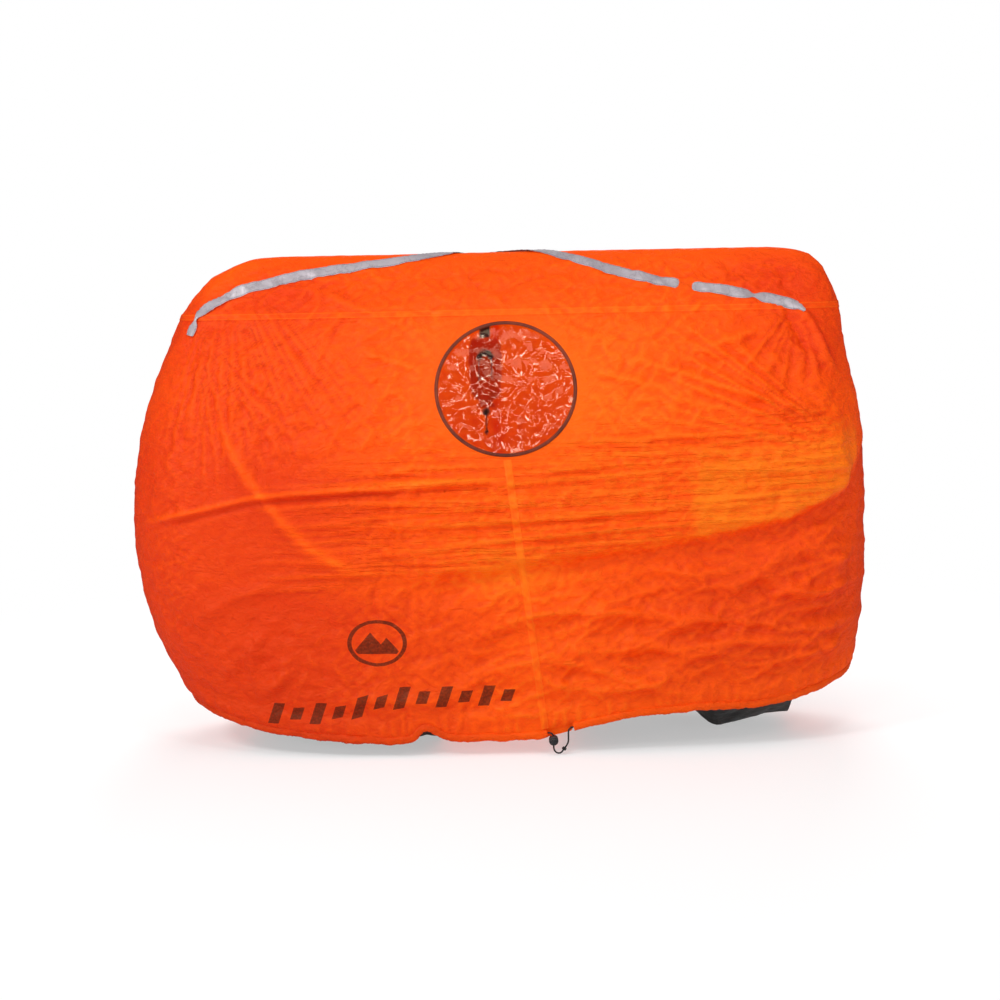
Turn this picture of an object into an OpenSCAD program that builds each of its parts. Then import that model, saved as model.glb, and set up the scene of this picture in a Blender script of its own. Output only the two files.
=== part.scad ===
// Two-person emergency survival shelter: a bag of thin coated nylon that opens at the bottom.
// It stands as it does in use, over two sling seats, with its drawn hem just off the ground.
// X runs along the long side, +X to the right. The front, with the window, faces -Y.
// The ground is z = 0. All sizes are in millimetres.

/* [Canopy] */
// Width across both ends at the widest level
canopy_width = 1384; // [1154:2:1660]
// Height of the ridge above the ground
ridge_height = 912; // [760:2:1096]
// Depth, front to back, at the widest level
canopy_depth = 490; // [408:2:588]
// Height of the widest level above the ground
widest_height = 430; // [360:5:500]
// Height of the ridge above the seam that joins the roof to the walls
roof_drop = 109; // [90:1:130]
// Depth, front to back, at the roof seam
roof_seam_depth = 260; // [216:2:312]
// Depth, front to back, at the hem
hem_depth = 460; // [384:2:552]
// Squareness of the canopy in plan: 2 is an ellipse and larger is nearer a box
plan_squareness = 3.6; // [2.6:0.2:4.6]
// Fullness of the roof's arch: 1 is a straight slope and larger is rounder
roof_fullness = 1.6; // [1.2:0.1:2.2]
// Thickness of one layer of cloth
cloth = 1.2; // [1:0.1:1.6]

/* [End profiles] */
// Width that the round of the upper left corner takes up
left_top_round = 377; // [300:1:450]
// Height above the ridge at which that round would close
left_top_overrun = 46; // [30:1:70]
// Width that the round of the upper right corner takes up
right_top_round = 202; // [150:1:260]
// Height above the ridge at which that round would close
right_top_overrun = 58; // [40:1:80]
// Width that the round of the lower left corner takes up
left_bottom_round = 290; // [220:1:340]
// Width that the round of the lower right corner takes up
right_bottom_round = 290; // [220:1:340]
// Height at which both lower rounds would close
bottom_close = 20; // [10:1:24]
// Fullness of the lower left corner
left_bottom_fullness = 2.25; // [2:0.05:3]
// Fullness of the lower right corner
right_bottom_fullness = 3.4; // [2.4:0.1:4]

/* [Hem] */
// Height of the bottom of the hem at the left of the front
hem_height = 28; // [24:1:40]
// How much higher the hem hangs on the right half
hem_right_rise = 42; // [20:1:50]
// Further lift of the hem at the left end
hem_left_end_lift = 12; // [0:1:24]
// Further lift of the hem at the right end
hem_right_end_lift = 25; // [10:1:40]
// Height of the tunnel that the drawcord runs in
tunnel_height = 14; // [11:1:20]
// Thickness of the tunnel across the cloth
tunnel_thickness = 7.4; // [6.6:0.1:9]
// Diameter of the elastic drawcord
drawcord_d = 3; // [2.5:0.1:3.4]

/* [Window and seams] */
// Clear diameter of the window
window_d = 249; // [200:1:280]
// Distance of the window's centre to the right of the middle
window_x = 16; // [-20:1:30]
// Distance of the window's centre below the roof seam
window_below_seam = 136; // [128:1:170]
// Overlap of the clear sheet and its binding past the edge of the opening
window_lap = 6.5; // [5:0.5:8]
// Lean of the front centre seam to the right, going down, in degrees
seam_lean = 6.8; // [0:0.1:8]
// Width of the taped centre seams and roof seam
seam_width = 17; // [12:1:24]
// Width of the reflective tapes
tape_width = 25; // [16:1:32]

/* [Seats] */
// Thickness of the seat cloth
seat_thickness = 2; // [1.6:0.1:3]
// Distance of each seat's inner edge from the middle
seat_inner = 120; // [100:5:160]
// Distance of each seat's outer edge in from the end of the hem
seat_end_inset = 35; // [20:1:90]
// Half of the seat's flat depth on the ground
seat_flat = 60; // [40:5:160]

/* [Cord lock] */
// Diameter of the cord lock's barrel
lock_d = 17; // [15.5:0.5:20]
// Length of the barrel
lock_length = 19; // [18:0.5:24]
// Diameter of the bore that the plunger runs in
plunger_bore_d = 10.4; // [9.6:0.1:11]
// Travel of the plunger when it is pressed
plunger_travel = 3.5; // [2.5:0.1:4]
// Diameter of the cord hole through the barrel
cord_hole_d = 4.2; // [4:0.1:4.6]

/* [Stowage sack] */
// Width of the sack
sack_width = 82; // [70:1:100]
// Depth of the sack
sack_depth = 38; // [30:1:46]
// Height of the sack from its base seam to its gathered throat
sack_height = 120; // [100:1:140]
// Distance from the ridge down to the sack's base seam
sack_drop = 162; // [140:1:190]
// Distance of the sack to the left of the middle
sack_offset = 21; // [0:1:40]
// Width of the webbing that carries the sack
webbing_width = 20; // [15:1:25]

/* [Hidden] */

// Clearance between sewn layers, and between pieces that lie against each other
lay_gap = 0.6;
seam_gap = 0.3;
trim_thickness = 0.8;
around_count = 48;
wall_rows = 16;
roof_rows = 6;
roof_seam_height = ridge_height - roof_drop;
window_height = roof_seam_height - window_below_seam;
half_width = canopy_width / 2;
tunnel_wall = 1.5;
// The spine is the middle line that the cloth faces away from.
spine_half = 450;
// Where the hem starts to climb to the right of the middle, and how far it takes
hem_rise_start = 20;
hem_rise_length = 240;

// ---- Small functions ----
function unit(v) = norm(v) < 0.000001 ? [0, 0, 0] : v / norm(v);
function ease(u) = let (t = max(0, min(1, u))) t * t * (3 - 2 * t);
function flat(rows) = [for (row = rows) each row];

// ---- Shape of the canopy ----
// c runs along the length: -1 at the left end, 0 in the middle and 1 at the right end.
// g runs over the girth: 0 at the ridge, 1 at the roof seam and 2 at the ground.
// side is -1 on the front and 1 on the rear.
function rounded(width, height, fullness, z) =
    let (t = min(1, abs(z - widest_height) / height))
    half_width - width * (1 - pow(1 - pow(t, fullness), 1 / fullness));
function top_round(width, overrun, z) =
    rounded(width, ridge_height - widest_height + overrun, 2, z);
function bottom_round(width, fullness, z) =
    rounded(width, widest_height - bottom_close, fullness, z);
function half_length(c, z) =
    z > widest_height
        ? (c > 0 ? top_round(right_top_round, right_top_overrun, z)
            : top_round(left_top_round, left_top_overrun, z))
        : (c > 0 ? bottom_round(right_bottom_round, right_bottom_fullness, z)
            : bottom_round(left_bottom_round, left_bottom_fullness, z));
function wall_half_depth(z) =
    z > widest_height
        ? canopy_depth / 2 - (canopy_depth - roof_seam_depth) / 2
            * pow((z - widest_height) / (roof_seam_height - widest_height), 2)
        : canopy_depth / 2 - (canopy_depth - hem_depth) / 2
            * pow((widest_height - z) / (widest_height - hem_height), 2);
function girth_z(g) =
    g < 1 ? ridge_height - roof_drop * pow(g, roof_fullness) : roof_seam_height * (2 - g);
function z_girth(z) = 2 - z / roof_seam_height;
function girth_half_depth(g) =
    g < 1 ? roof_seam_depth / 2 * g : wall_half_depth(girth_z(g));
function across(c) = pow(max(0, 1 - pow(abs(c), plan_squareness)), 1 / plan_squareness);

// The front centre seam leans, so the front's columns crowd towards it.
function seam_x(z) =
    window_x + tan(seam_lean) * max(0, window_height - window_d / 2 - z);
function seam_c(z, side) = side < 0 ? seam_x(z) / half_length(1, z) : 0;
function crowd(c, z, side) = c + seam_c(z, side) * (1 - abs(c));

function out_dir(p, g) =
    let (
        reach = p.x - max(-spine_half, min(spine_half, p.x)),
        level = unit([reach, p.y, 0]),
        tip = 90 * (1 - min(1, g)))
    unit(cos(tip) * level + sin(tip) * [0, 0, 1]);
function canopy(c, g, side, lift = 0) =
    let (
        z = girth_z(g),
        p = [c * half_length(c, z), side * across(c) * girth_half_depth(g), z])
    p + lift * out_dir(p, g);

// One turn round the canopy, at an angle counted from the right end towards the rear
function plan_c(turn) =
    cos(turn) / pow(pow(abs(cos(turn)), plan_squareness)
        + pow(abs(sin(turn)), plan_squareness), 1 / plan_squareness);
function turn_side(turn) = sin(turn) < 0 ? -1 : 1;
function ring_point(turn, g, lift) =
    let (side = turn_side(turn))
    canopy(crowd(plan_c(turn), girth_z(g), side), g, side, lift);

// Distance along the hem and height of its bottom
function hem_x(c) = c * half_length(c, hem_height + tunnel_height);
function hem_z(c) =
    hem_height + hem_right_rise * ease((hem_x(c) - hem_rise_start) / hem_rise_length)
        + (c > 0 ? hem_right_end_lift : hem_left_end_lift) * pow(abs(c), 6);
function hem_c(turn) =
    let (side = turn_side(turn))
    crowd(plan_c(turn), hem_height + tunnel_height, side);
function tunnel_middle(c, side) =
    canopy(c, z_girth(hem_z(c) + tunnel_height / 2), side, -cloth / 2);

// ---- Solids from rows of points ----
// Rows go up or along, and the points in a row go round to the left as seen from outside.
function at(rows, count, r, k, fold) =
    let (col = k % count)
    r * count + (fold && r == rows - 1 ? min(col, count - col) : col);
function side_faces(rows, count, last, fold) =
    [for (r = [0 : rows - 2], k = [0 : last])
        let (
            a = at(rows, count, r, k, fold),
            b = at(rows, count, r, k + 1, fold),
            c = at(rows, count, r + 1, k + 1, fold),
            d = at(rows, count, r + 1, k, fold))
        each [[a, d, c], [a, c, b]]];

// A sheet between an outer and an inner skin
module sheet(outer, inner, closed = false, fold = false) {
    rows = len(outer);
    count = len(outer[0]);
    last = closed ? count - 1 : count - 2;
    total = rows * count;
    skin = side_faces(rows, count, last, fold);
    lining = [for (f = skin) [f[0] + total, f[2] + total, f[1] + total]];
    low_rim = [for (k = [0 : last])
        let (a = k, b = (k + 1) % count)
        each [[a, b, b + total], [a, b + total, a + total]]];
    high_rim = fold ? [] : [for (k = [0 : last])
        let (base = (rows - 1) * count, d = base + k, c = base + (k + 1) % count)
        each [[c, d, d + total], [c, d + total, c + total]]];
    ends = closed ? [] : [for (r = [0 : rows - 2])
        let (
            a = r * count,
            d = a + count,
            b = a + count - 1,
            c = d + count - 1)
        each [[d, a, a + total], [d, a + total, d + total],
            [b, c, c + total], [b, c + total, b + total]]];
    polyhedron(concat(flat(outer), flat(inner)),
        concat(skin, lining, low_rim, high_rim, ends), convexity = 6);
}

// A solid bar through closed rows of points
module bar(rows_list) {
    rows = len(rows_list);
    count = len(rows_list[0]);
    top = (rows - 1) * count;
    skin = side_faces(rows, count, count - 1, false);
    caps = [for (k = [1 : count - 2]) each [[0, k, k + 1], [top, top + k + 1, top + k]]];
    polyhedron(flat(rows_list), concat(skin, caps), convexity = 6);
}

// Rows round a path, each an oval across it; guide is a direction that stays across the path
function path_tangent(path, i) =
    unit(path[min(len(path) - 1, i + 1)] - path[max(0, i - 1)]);
function path_rows(path, half_u, half_v, guides, sides) =
    [for (i = [0 : len(path) - 1])
        let (
            t = path_tangent(path, i),
            guide = guides[min(i, len(guides) - 1)],
            u = unit(guide - (guide * t) * t),
            v = cross(t, u))
        [for (k = [0 : sides - 1])
            path[i] + half_u * cos(360 * (k + 0.5) / sides) * u
                + half_v * sin(360 * (k + 0.5) / sides) * v]];

// Points of a smooth curve through the given ones
function curve_at(pts, i, t) =
    let (
        n = len(pts) - 1,
        a = pts[max(0, i - 1)],
        b = pts[i],
        c = pts[min(n, i + 1)],
        d = pts[min(n, i + 2)])
    0.5 * (2 * b + (c - a) * t + (2 * a - 5 * b + 4 * c - d) * t * t
        + (3 * b - a - 3 * c + d) * t * t * t);
function curve(pts, steps) =
    concat([for (i = [0 : len(pts) - 2], k = [0 : steps - 1]) curve_at(pts, i, k / steps)],
        [pts[len(pts) - 1]]);

// ---- Canopy cloth ----
function wall_g(turn, row) =
    let (low = z_girth(hem_z(hem_c(turn)) + tunnel_height + lay_gap),
        high = z_girth(roof_seam_height - seam_gap / 2))
    low + (high - low) * row / wall_rows;
function wall_rows_of(first, last, lift) =
    [for (row = [0 : wall_rows])
        [for (k = [first : last])
            let (
                turn = 360 * k / around_count,
                point = ring_point(turn, wall_g(turn, row), lift),
                edge = k == first ? 1 : k == last ? -1 : 0,
                step = turn_side(turn) * -edge * seam_gap / 2)
            point + [step, 0, 0]]];

window_cut_depth = 60;
module window_hole() {
    tilt = window_tilt();
    translate([window_x, -wall_half_depth(window_height), window_height])
        rotate([90 - tilt, 0, 0])
            cylinder(h = window_cut_depth, r = window_d / 2, center = true, $fn = 96);
}

// Lean of the cloth at the window's centre
function window_tilt() =
    atan((wall_half_depth(window_height - 1) - wall_half_depth(window_height + 1)) / 2);

module wall_left() {
    color("orangered") difference() {
        sheet(wall_rows_of(12, 36, 0), wall_rows_of(12, 36, -cloth));
        window_hole();
    }
}

module wall_right() {
    color("orangered") difference() {
        sheet(wall_rows_of(36, 60, 0), wall_rows_of(36, 60, -cloth));
        window_hole();
    }
}

roof_edge_g = pow((roof_drop - seam_gap / 2) / roof_drop, 1 / roof_fullness);
function roof_g(row) = (1 - row / roof_rows) * roof_edge_g;
function roof_rows_of(lift) =
    [for (row = [0 : roof_rows])
        [for (k = [0 : around_count - 1])
            let (turn = 360 * k / around_count)
            row == roof_rows
                ? canopy(crowd(plan_c(turn), ridge_height, -1), 0, 1, lift)
                : ring_point(turn, roof_g(row), lift)]];

module roof_panel() {
    color("orangered")
        sheet(roof_rows_of(0), roof_rows_of(-cloth), closed = true, fold = true);
}

// ---- Strips sewn flat onto the canopy ----
// A strip follows [c, g] points, where a negative g lies on the front
function canopy_signed(cg, lift) =
    canopy(cg.x, abs(cg.y), cg.y < 0 ? -1 : 1, lift);
function strip_edge(cg, along, across_by) =
    let (
        step = 0.002,
        here = canopy_signed(cg, 0),
        dc = (canopy_signed(cg + [step, 0], 0) - here) / step,
        dg = (canopy_signed(cg + [0, step], 0) - here) / step,
        normal = unit(cross(dc, dg)),
        heading = unit(dc * along.x + dg * along.y),
        aside = cross(normal, heading) * across_by)
    cg + [aside * dc / (dc * dc), aside * dg / (dg * dg)];
// A tape lifts where it passes over the roof seam's band, and the upper tape where they cross.
// Each step up is [middle, half reach, length of its slope], along g and along c.
band_step = [0.98, 0.16, 0.06];
crossing_step = [-0.06, 0.3, 0.08];
function step_up(at, step) = ease((step[1] - abs(at - step[0])) / step[2]);
function sewn_lift(cg, over_band, over_tape) =
    lay_gap + (trim_thickness + lay_gap) * (over_band * step_up(abs(cg.y), band_step)
        + over_tape * step_up(cg.x, crossing_step));
function strip_rows(path, width, above, over_band, over_tape) =
    [for (i = [0 : len(path) - 1])
        let (along = path[min(len(path) - 1, i + 1)] - path[max(0, i - 1)])
        [for (k = [-1 : 1])
            let (cg = strip_edge(path[i], along, -k * width / 2))
            canopy_signed(cg, above + sewn_lift(cg, over_band, over_tape))]];

module sewn_strip(path, width, over_band = 0, over_tape = 0) {
    sheet(strip_rows(path, width, trim_thickness, over_band, over_tape),
        strip_rows(path, width, 0, over_band, over_tape));
}

function seam_path(side, low, high, count) =
    [for (i = [0 : count])
        let (g = low + (high - low) * i / count)
        [seam_c(girth_z(g), side), side * g]];
seam_end_gap = 2;
seam_hem_gap = 4;
seam_top = z_girth(roof_seam_height - seam_width / 2 - seam_end_gap);
function seam_bottom(side) =
    z_girth(hem_z(seam_c(hem_height + tunnel_height, side)) + tunnel_height + seam_hem_gap);
window_foot = z_girth(window_height - window_d / 2 * cos(window_tilt()) - window_lap
    - seam_end_gap);

module front_seam_tape() {
    color("orangered")
        sewn_strip(seam_path(-1, seam_bottom(-1), window_foot, 12), seam_width);
}

module rear_seam_tape() {
    color("orangered")
        sewn_strip(seam_path(1, seam_top, seam_bottom(1), 16), seam_width);
}

// The roof seam's tape is a closed band that folds over the seam.
function seam_band_rows(lift) =
    [for (z = [roof_seam_height - seam_width / 2, roof_seam_height,
            roof_seam_height + seam_width / 2])
        [for (k = [0 : around_count - 1])
            let (
                turn = 360 * k / around_count,
                g = z < roof_seam_height + 0.01 ? z_girth(z)
                    : pow((ridge_height - z) / roof_drop, 1 / roof_fullness))
            ring_point(turn, g, lift)]];

module roof_seam_tape() {
    color("orangered")
        sheet(seam_band_rows(lay_gap + trim_thickness), seam_band_rows(lay_gap), closed = true);
}

// The two reflective tapes cross just behind the ridge; each runs to a front corner.
tape_crossing = [crossing_step[0], 0.26];
left_tape_path = [[-0.935, -1.04], [-0.92, -0.87], [-0.86, -0.69], [-0.73, -0.52],
    [-0.54, -0.37], [-0.36, -0.24], [-0.2, -0.06], tape_crossing, [0.3, 0.6], [0.7, 0.86],
    [0.92, 1.03]];
right_tape_path = [[0.88, -1.01], [0.79, -0.91], [0.68, -0.81], [0.56, -0.72], [0.44, -0.61],
    [0.33, -0.46], [0.22, -0.22], [0.12, 0.02], tape_crossing, [-0.36, 0.6], [-0.72, 0.86],
    [-0.93, 1.03]];

module reflective_tape_left() {
    color("lightgray") sewn_strip(curve(left_tape_path, 5), tape_width, over_band = 1);
}

module reflective_tape_right() {
    color("lightgray")
        sewn_strip(curve(right_tape_path, 5), tape_width, over_band = 1, over_tape = 1);
}

// ---- Window ----
function window_point(r, a, lift) =
    let (
        x = window_x + r * cos(a),
        z = window_height + r * sin(a) * cos(window_tilt()),
        c = x / half_length(x, z))
    canopy(c, z_girth(z), -1, lift);
function window_ring(r, lift) =
    [for (k = [0 : 31]) window_point(r, 360 * k / 32, lift)];
pane_thickness = 0.8;
pane_lift = -cloth - lay_gap - seam_gap;

module window_pane() {
    r = window_d / 2 + window_lap;
    radii = [for (share = [1, 0.8, 0.6, 0.4, 0.2, 0.02]) r * share];
    color("white", 0.4) sheet([for (q = radii) window_ring(q, pane_lift)],
        [for (q = radii) window_ring(q, pane_lift - pane_thickness)], closed = true);
}

module window_binding() {
    r = window_d / 2;
    radii = [r + window_lap, r, r - window_lap / 2];
    color("saddlebrown") sheet([for (q = radii) window_ring(q, lay_gap + trim_thickness)],
        [for (q = radii) window_ring(q, lay_gap)], closed = true);
}

// ---- Hem and drawcord ----
// The tunnel is open at the front, where both ends of the cord come out. The left mouth is
// just past the front seam.
seam_mouth_gap = 3.3;
mouth_left = seam_x(hem_height + tunnel_height) + seam_mouth_gap;
mouth_right = 123;
first_turn = -75;
last_turn = 262.5;
function hem_x_c(x) = x / half_length(1, hem_height + tunnel_height);
function tunnel_path() =
    concat([tunnel_middle(hem_x_c(mouth_right), -1)],
        [for (turn = [first_turn : 360 / around_count : last_turn])
            tunnel_middle(hem_c(turn), turn_side(turn))],
        [tunnel_middle(hem_x_c(mouth_left), -1)]);
tunnel_line = tunnel_path();
function level_out(path) = [for (p = path) out_dir(p, 2)];

module hem_tunnel() {
    guides = level_out(tunnel_line);
    bore = tunnel_thickness / 2 - tunnel_wall;
    color("orangered") sheet(
        path_rows(tunnel_line, tunnel_thickness / 2, tunnel_height / 2, guides, 8),
        path_rows(tunnel_line, bore, bore, guides, 8), closed = true);
}

module drawcord() {
    color("black") bar(path_rows(tunnel_line, drawcord_d / 2, drawcord_d / 2,
        level_out(tunnel_line), 8));
}

// The free loop of the drawcord: out of the left mouth, down through the cord lock,
// round just above the ground and up into the right mouth.
loop_route = [[84, -230.5, 41], [88, -230.5, 38.6], [90, -230.5, 34], [90, -230.5, 26],
    [90, -230.5, 18], [90, -230.5, 13], [91.5, -230.5, 8], [95.5, -230.5, 4.2],
    [100.5, -230.5, 3.4], [104.5, -230.5, 5.5], [109, -230.5, 11.5], [113.5, -230.5, 17.5],
    [116.5, -230.5, 24], [117, -230.5, 32], [117.2, -230.5, 42], [119, -230.5, 47.6]];
loop_knot = 10;
knot_d = 8.4;
knot_length = 6.5;
knot_hole = drawcord_d + 0.7;
function loop_path() =
    let (
        left = tunnel_line[len(tunnel_line) - 1] + [seam_gap, 0, 0],
        right = tunnel_line[0] - [seam_gap, 0, 0])
    curve(concat([left], loop_route, [right]), 2);

module drawcord_loop() {
    color("black")
        bar(path_rows(loop_path(), drawcord_d / 2, drawcord_d / 2, [[0, 1, 0]], 8));
}

module drawcord_knot() {
    run = loop_route[loop_knot + 1] - loop_route[loop_knot - 1];
    color("black") translate(loop_route[loop_knot])
        rotate([0, atan2(run.x, run.z), 0]) knot(knot_d, knot_length, knot_hole);
}

// A knot drawn tight round its own cord
module knot(size, length, hole) {
    waist = size / 3;
    rotate_extrude($fn = 24)
        polygon([[hole / 2, -length / 2], [waist, -length / 2], [size / 2, -length / 4],
            [size / 2, length / 4], [waist, length / 2], [hole / 2, length / 2]]);
}

// ---- Cord locks ----
// A cord lock is a barrel with a sprung plunger across the cord. It is drawn with its
// button towards +Z and the cord along Y, and then stood with the button to the front.
lock_height = 27;
lock_place = [90, -230.5, lock_height];
barrel_floor = 1.5;
barrel_front = 8;
plunger_clearance = 0.3;
plunger_back = 3.7;
button_length = 3.5;
button_d = 12.4;
spring_wire = 0.6;
spring_turns = 3;
spring_inset = 1.2;

module stand_lock(place) {
    translate(place) rotate([90, 0, 0]) children();
}

module lock_barrel(size, length, bore, hole) {
    back = barrel_front - length;
    floor_z = back + barrel_floor;
    difference() {
        rotate_extrude($fn = 40)
            polygon([[0, back], [size / 2 - 2, back], [size / 2 - 0.6, back + 0.6],
                [size / 2, back + 2], [size / 2, barrel_front - 2.5],
                [size / 2 - 0.6, barrel_front - 0.8], [size / 2 - 1.8, barrel_front],
                [bore / 2, barrel_front], [bore / 2, floor_z], [0, floor_z]]);
        rotate([90, 0, 0]) cylinder(h = size + 2, d = hole, center = true, $fn = 24);
    }
}

module lock_plunger(bore, travel, hole, head_d) {
    shaft = bore / 2 - plunger_clearance;
    head = barrel_front + travel + plunger_clearance;
    difference() {
        rotate_extrude($fn = 36)
            polygon([[0, -plunger_back], [shaft, -plunger_back], [shaft, head],
                [head_d / 2 - 0.5, head], [head_d / 2, head + 0.5],
                [head_d / 2, head + button_length - 1.2],
                [head_d / 2 - 1.2, head + button_length], [0, head + button_length]]);
        for (slide = [0, travel])
            translate([0, 0, slide]) rotate([90, 0, 0])
                cylinder(h = bore + 2, d = hole, center = true, $fn = 24);
        translate([-hole / 2, -bore / 2 - 1, 0]) cube([hole, bore + 2, travel]);
    }
}

module lock_spring(length, bore) {
    low = barrel_front - length + barrel_floor + seam_gap + spring_wire / 2;
    high = -plunger_back - seam_gap - spring_wire / 2;
    coil = bore / 2 - plunger_clearance - spring_inset;
    steps = spring_turns * 12;
    path = [for (i = [0 : steps])
        [coil * cos(30 * i), coil * sin(30 * i), low + (high - low) * i / steps]];
    bar(path_rows(path, spring_wire / 2, spring_wire / 2, [[0, 0, 1]], 6));
}

module cord_lock_body() {
    color("dimgray") stand_lock(lock_place)
        lock_barrel(lock_d, lock_length, plunger_bore_d, cord_hole_d);
}

module cord_lock_plunger() {
    color("black") stand_lock(lock_place)
        lock_plunger(plunger_bore_d, plunger_travel, cord_hole_d, button_d);
}

module cord_lock_spring() {
    color("silver") stand_lock(lock_place) lock_spring(lock_length, plunger_bore_d);
}

// ---- Seats ----
// Each seat is a sling: flat on the ground in the middle and rising to the hem front and rear.
seat_columns = 8;
seat_rows = 14;
seat_left_end_rise = 11;
seat_right_end_rise = 34;
seat_edge_gap = 0.4;
// Share of the seat's length, from its inner edge, at which the end starts to rise
seat_level_share = 0.7;
binding_width = 6;
binding_reach = 0.985;
binding_height = 4;
function tunnel_at(x, side) =
    let (line = [for (p = tunnel_line) if (p.y * side > 0) p])
    [x, lookup(x, [for (p = line) [p.x, p.y]]), lookup(x, [for (p = line) [p.x, p.z]])];
function seat_edge(x, side) =
    let (p = tunnel_at(x, side))
    p - (tunnel_thickness / 2 + seat_edge_gap) * out_dir(p, 2);
function seat_z(x, v, edge, outer_x) =
    let (
        reach = edge.y * v,
        end_rise = x > 0 ? seat_right_end_rise : seat_left_end_rise,
        floor_z = seat_thickness + end_rise * ease((x / outer_x - seat_level_share) / (1 - seat_level_share)),
        rise = ease((abs(reach) - seat_flat) / (abs(edge.y) - seat_flat)))
    floor_z + (edge.z - floor_z) * rise;
function seat_x(i, hand) =
    let (outer = half_length(hand, hem_height + tunnel_height) - seat_end_inset)
    hand * (seat_inner + (outer - seat_inner) * i / seat_columns);
function seat_row(x, hand, thick, reach = 1) =
    [for (j = [0 : seat_rows])
        let (
            v = reach * (2 * j / seat_rows - 1),
            edge = seat_edge(x, v < 0 ? -1 : 1),
            z = seat_z(x, abs(v), edge, seat_x(seat_columns, hand)))
        [edge.x, abs(edge.y) * v, z - thick]];

module seat(hand) {
    order = hand < 0 ? [0 : seat_columns] : [seat_columns : -1 : 0];
    sheet([for (i = order) seat_row(seat_x(i, hand), hand, 0)],
        [for (i = order) seat_row(seat_x(i, hand), hand, seat_thickness)]);
}

module seat_left() {
    color("dimgray") seat(-1);
}

module seat_right() {
    color("dimgray") seat(1);
}

// The binding runs along the free inner edge of a seat.
module seat_binding(hand) {
    row = seat_row(seat_x(0, hand), hand, seat_thickness / 2, binding_reach);
    out = hand * (binding_width / 2 + seam_gap);
    lift = (binding_height - seat_thickness) / 2;
    path = [for (p = row) p + [-out, 0, lift]];
    bar(path_rows(path, binding_width / 2, binding_height / 2, [[1, 0, 0]], 8));
}

module seat_left_binding() {
    color("black") seat_binding(-1);
}

module seat_right_binding() {
    color("black") seat_binding(1);
}

// ---- Stowage sack ----
// The canopy packs into this sack, which stays sewn to the roof by its webbing and hangs
// mouth down inside.
webbing_thickness = 1.6;
hanger_height = 14;
hanger_pin_d = 6;
strap_clearance = 0.4;
eye_overlap = 0.8;
sack_x = -sack_offset;
sack_top = ridge_height - sack_drop;
sack_bottom = sack_top - sack_height;
hanger_z = ridge_height - cloth - lay_gap - hanger_height;

// A short bar of folded webbing sewn under the ridge, which the strap's eye turns on
module roof_hanger() {
    color("black") {
        translate([sack_x, 0, hanger_z]) rotate([0, 90, 0])
            cylinder(h = webbing_width + 8, d = hanger_pin_d, center = true, $fn = 32);
        for (hand = [-1, 1])
            translate([sack_x + hand * (webbing_width / 2 + 4), 0, hanger_z])
                hanger_leg();
    }
}

module hanger_leg() {
    translate([-2, -hanger_pin_d / 2, 0])
        cube([4, hanger_pin_d, hanger_height - roof_sag]);
    rotate([0, 90, 0]) cylinder(h = 4, d = hanger_pin_d, center = true, $fn = 32);
}

// How far the cloth falls below the ridge at the edge of the hanger, with a little to spare
hanger_spare = 0.2;
roof_sag = roof_drop * pow(hanger_pin_d / roof_seam_depth, roof_fullness) + hanger_spare;

module sack_strap() {
    eye = hanger_pin_d / 2 + strap_clearance;
    outside = eye + webbing_thickness;
    color("dimgray") translate([sack_x, 0, hanger_z]) difference() {
        union() {
            rotate([0, 90, 0])
                cylinder(h = webbing_width, r = outside, center = true, $fn = 40);
            translate([-webbing_width / 2, -webbing_thickness / 2, sack_top - hanger_z + seam_gap])
                cube([webbing_width, webbing_thickness, hanger_z - sack_top - eye - eye_overlap]);
        }
        rotate([0, 90, 0]) cylinder(h = webbing_width + 2, r = eye, center = true, $fn = 40);
    }
}

// Each row is [share of the height up from the throat, share of the width, share of the depth]
sack_profile = [[-0.09, 0.36, 0.5], [-0.05, 0.3, 0.44], [0, 0.18, 0.34], [0.06, 0.4, 0.62],
    [0.16, 0.74, 0.9], [0.34, 0.97, 1], [0.6, 1, 0.98], [0.84, 0.96, 0.82], [0.96, 0.86, 0.5],
    [1, 0.72, 0.3]];
sack_sides = 20;

module stuff_sack() {
    color("orangered") bar([for (row = sack_profile)
        [for (k = [0 : sack_sides - 1])
            let (a = 360 * k / sack_sides)
            [sack_x + row[1] * sack_width / 2 * plan_round(cos(a)),
                row[2] * sack_depth / 2 * plan_round(sin(a)),
                sack_bottom + row[0] * sack_height]]]);
}
function plan_round(v) = sign(v) * pow(abs(v), 0.8);

// A carrying loop of the same webbing, sewn down the front of the sack
handle_high = 0.8;
handle_low = 0.36;
handle_reach = 9;
function sack_front(share) =
    -sack_depth / 2 * lookup(share, [for (row = sack_profile) [row[0], row[2]]])
        - webbing_thickness / 2 - seam_gap;
function handle_point(share, reach) =
    [sack_x, sack_front(share) - reach, sack_bottom + share * sack_height];
module sack_handle() {
    step = (handle_high - handle_low) / 3;
    route = [handle_point(handle_low, 0), handle_point(handle_low + step, handle_reach),
        handle_point(handle_high - step, handle_reach), handle_point(handle_high, 0)];
    color("dimgray") bar(path_rows(curve(route, 4), webbing_width / 2,
        webbing_thickness / 2, [[1, 0, 0]], 8));
}

// The sack's cord comes down out of its gathered mouth, through a second cord lock.
sack_cord_d = 2.6;
sack_cord_length = 52;
sack_lock_d = 14;
sack_lock_length = 18;
sack_lock_bore_d = 8.6;
sack_lock_hole_d = 3.4;
sack_lock_travel = 3;
sack_mouth = sack_bottom + sack_profile[0][0] * sack_height;
sack_lock_gap = 1.4;
sack_lock_place = [sack_x, 0, sack_mouth - sack_lock_d / 2 - sack_lock_gap];
sack_cord_foot = sack_mouth - seam_gap - sack_cord_length;
sack_knot_d = 7.4;
sack_knot_length = 6;
sack_button_d = 10;

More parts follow.
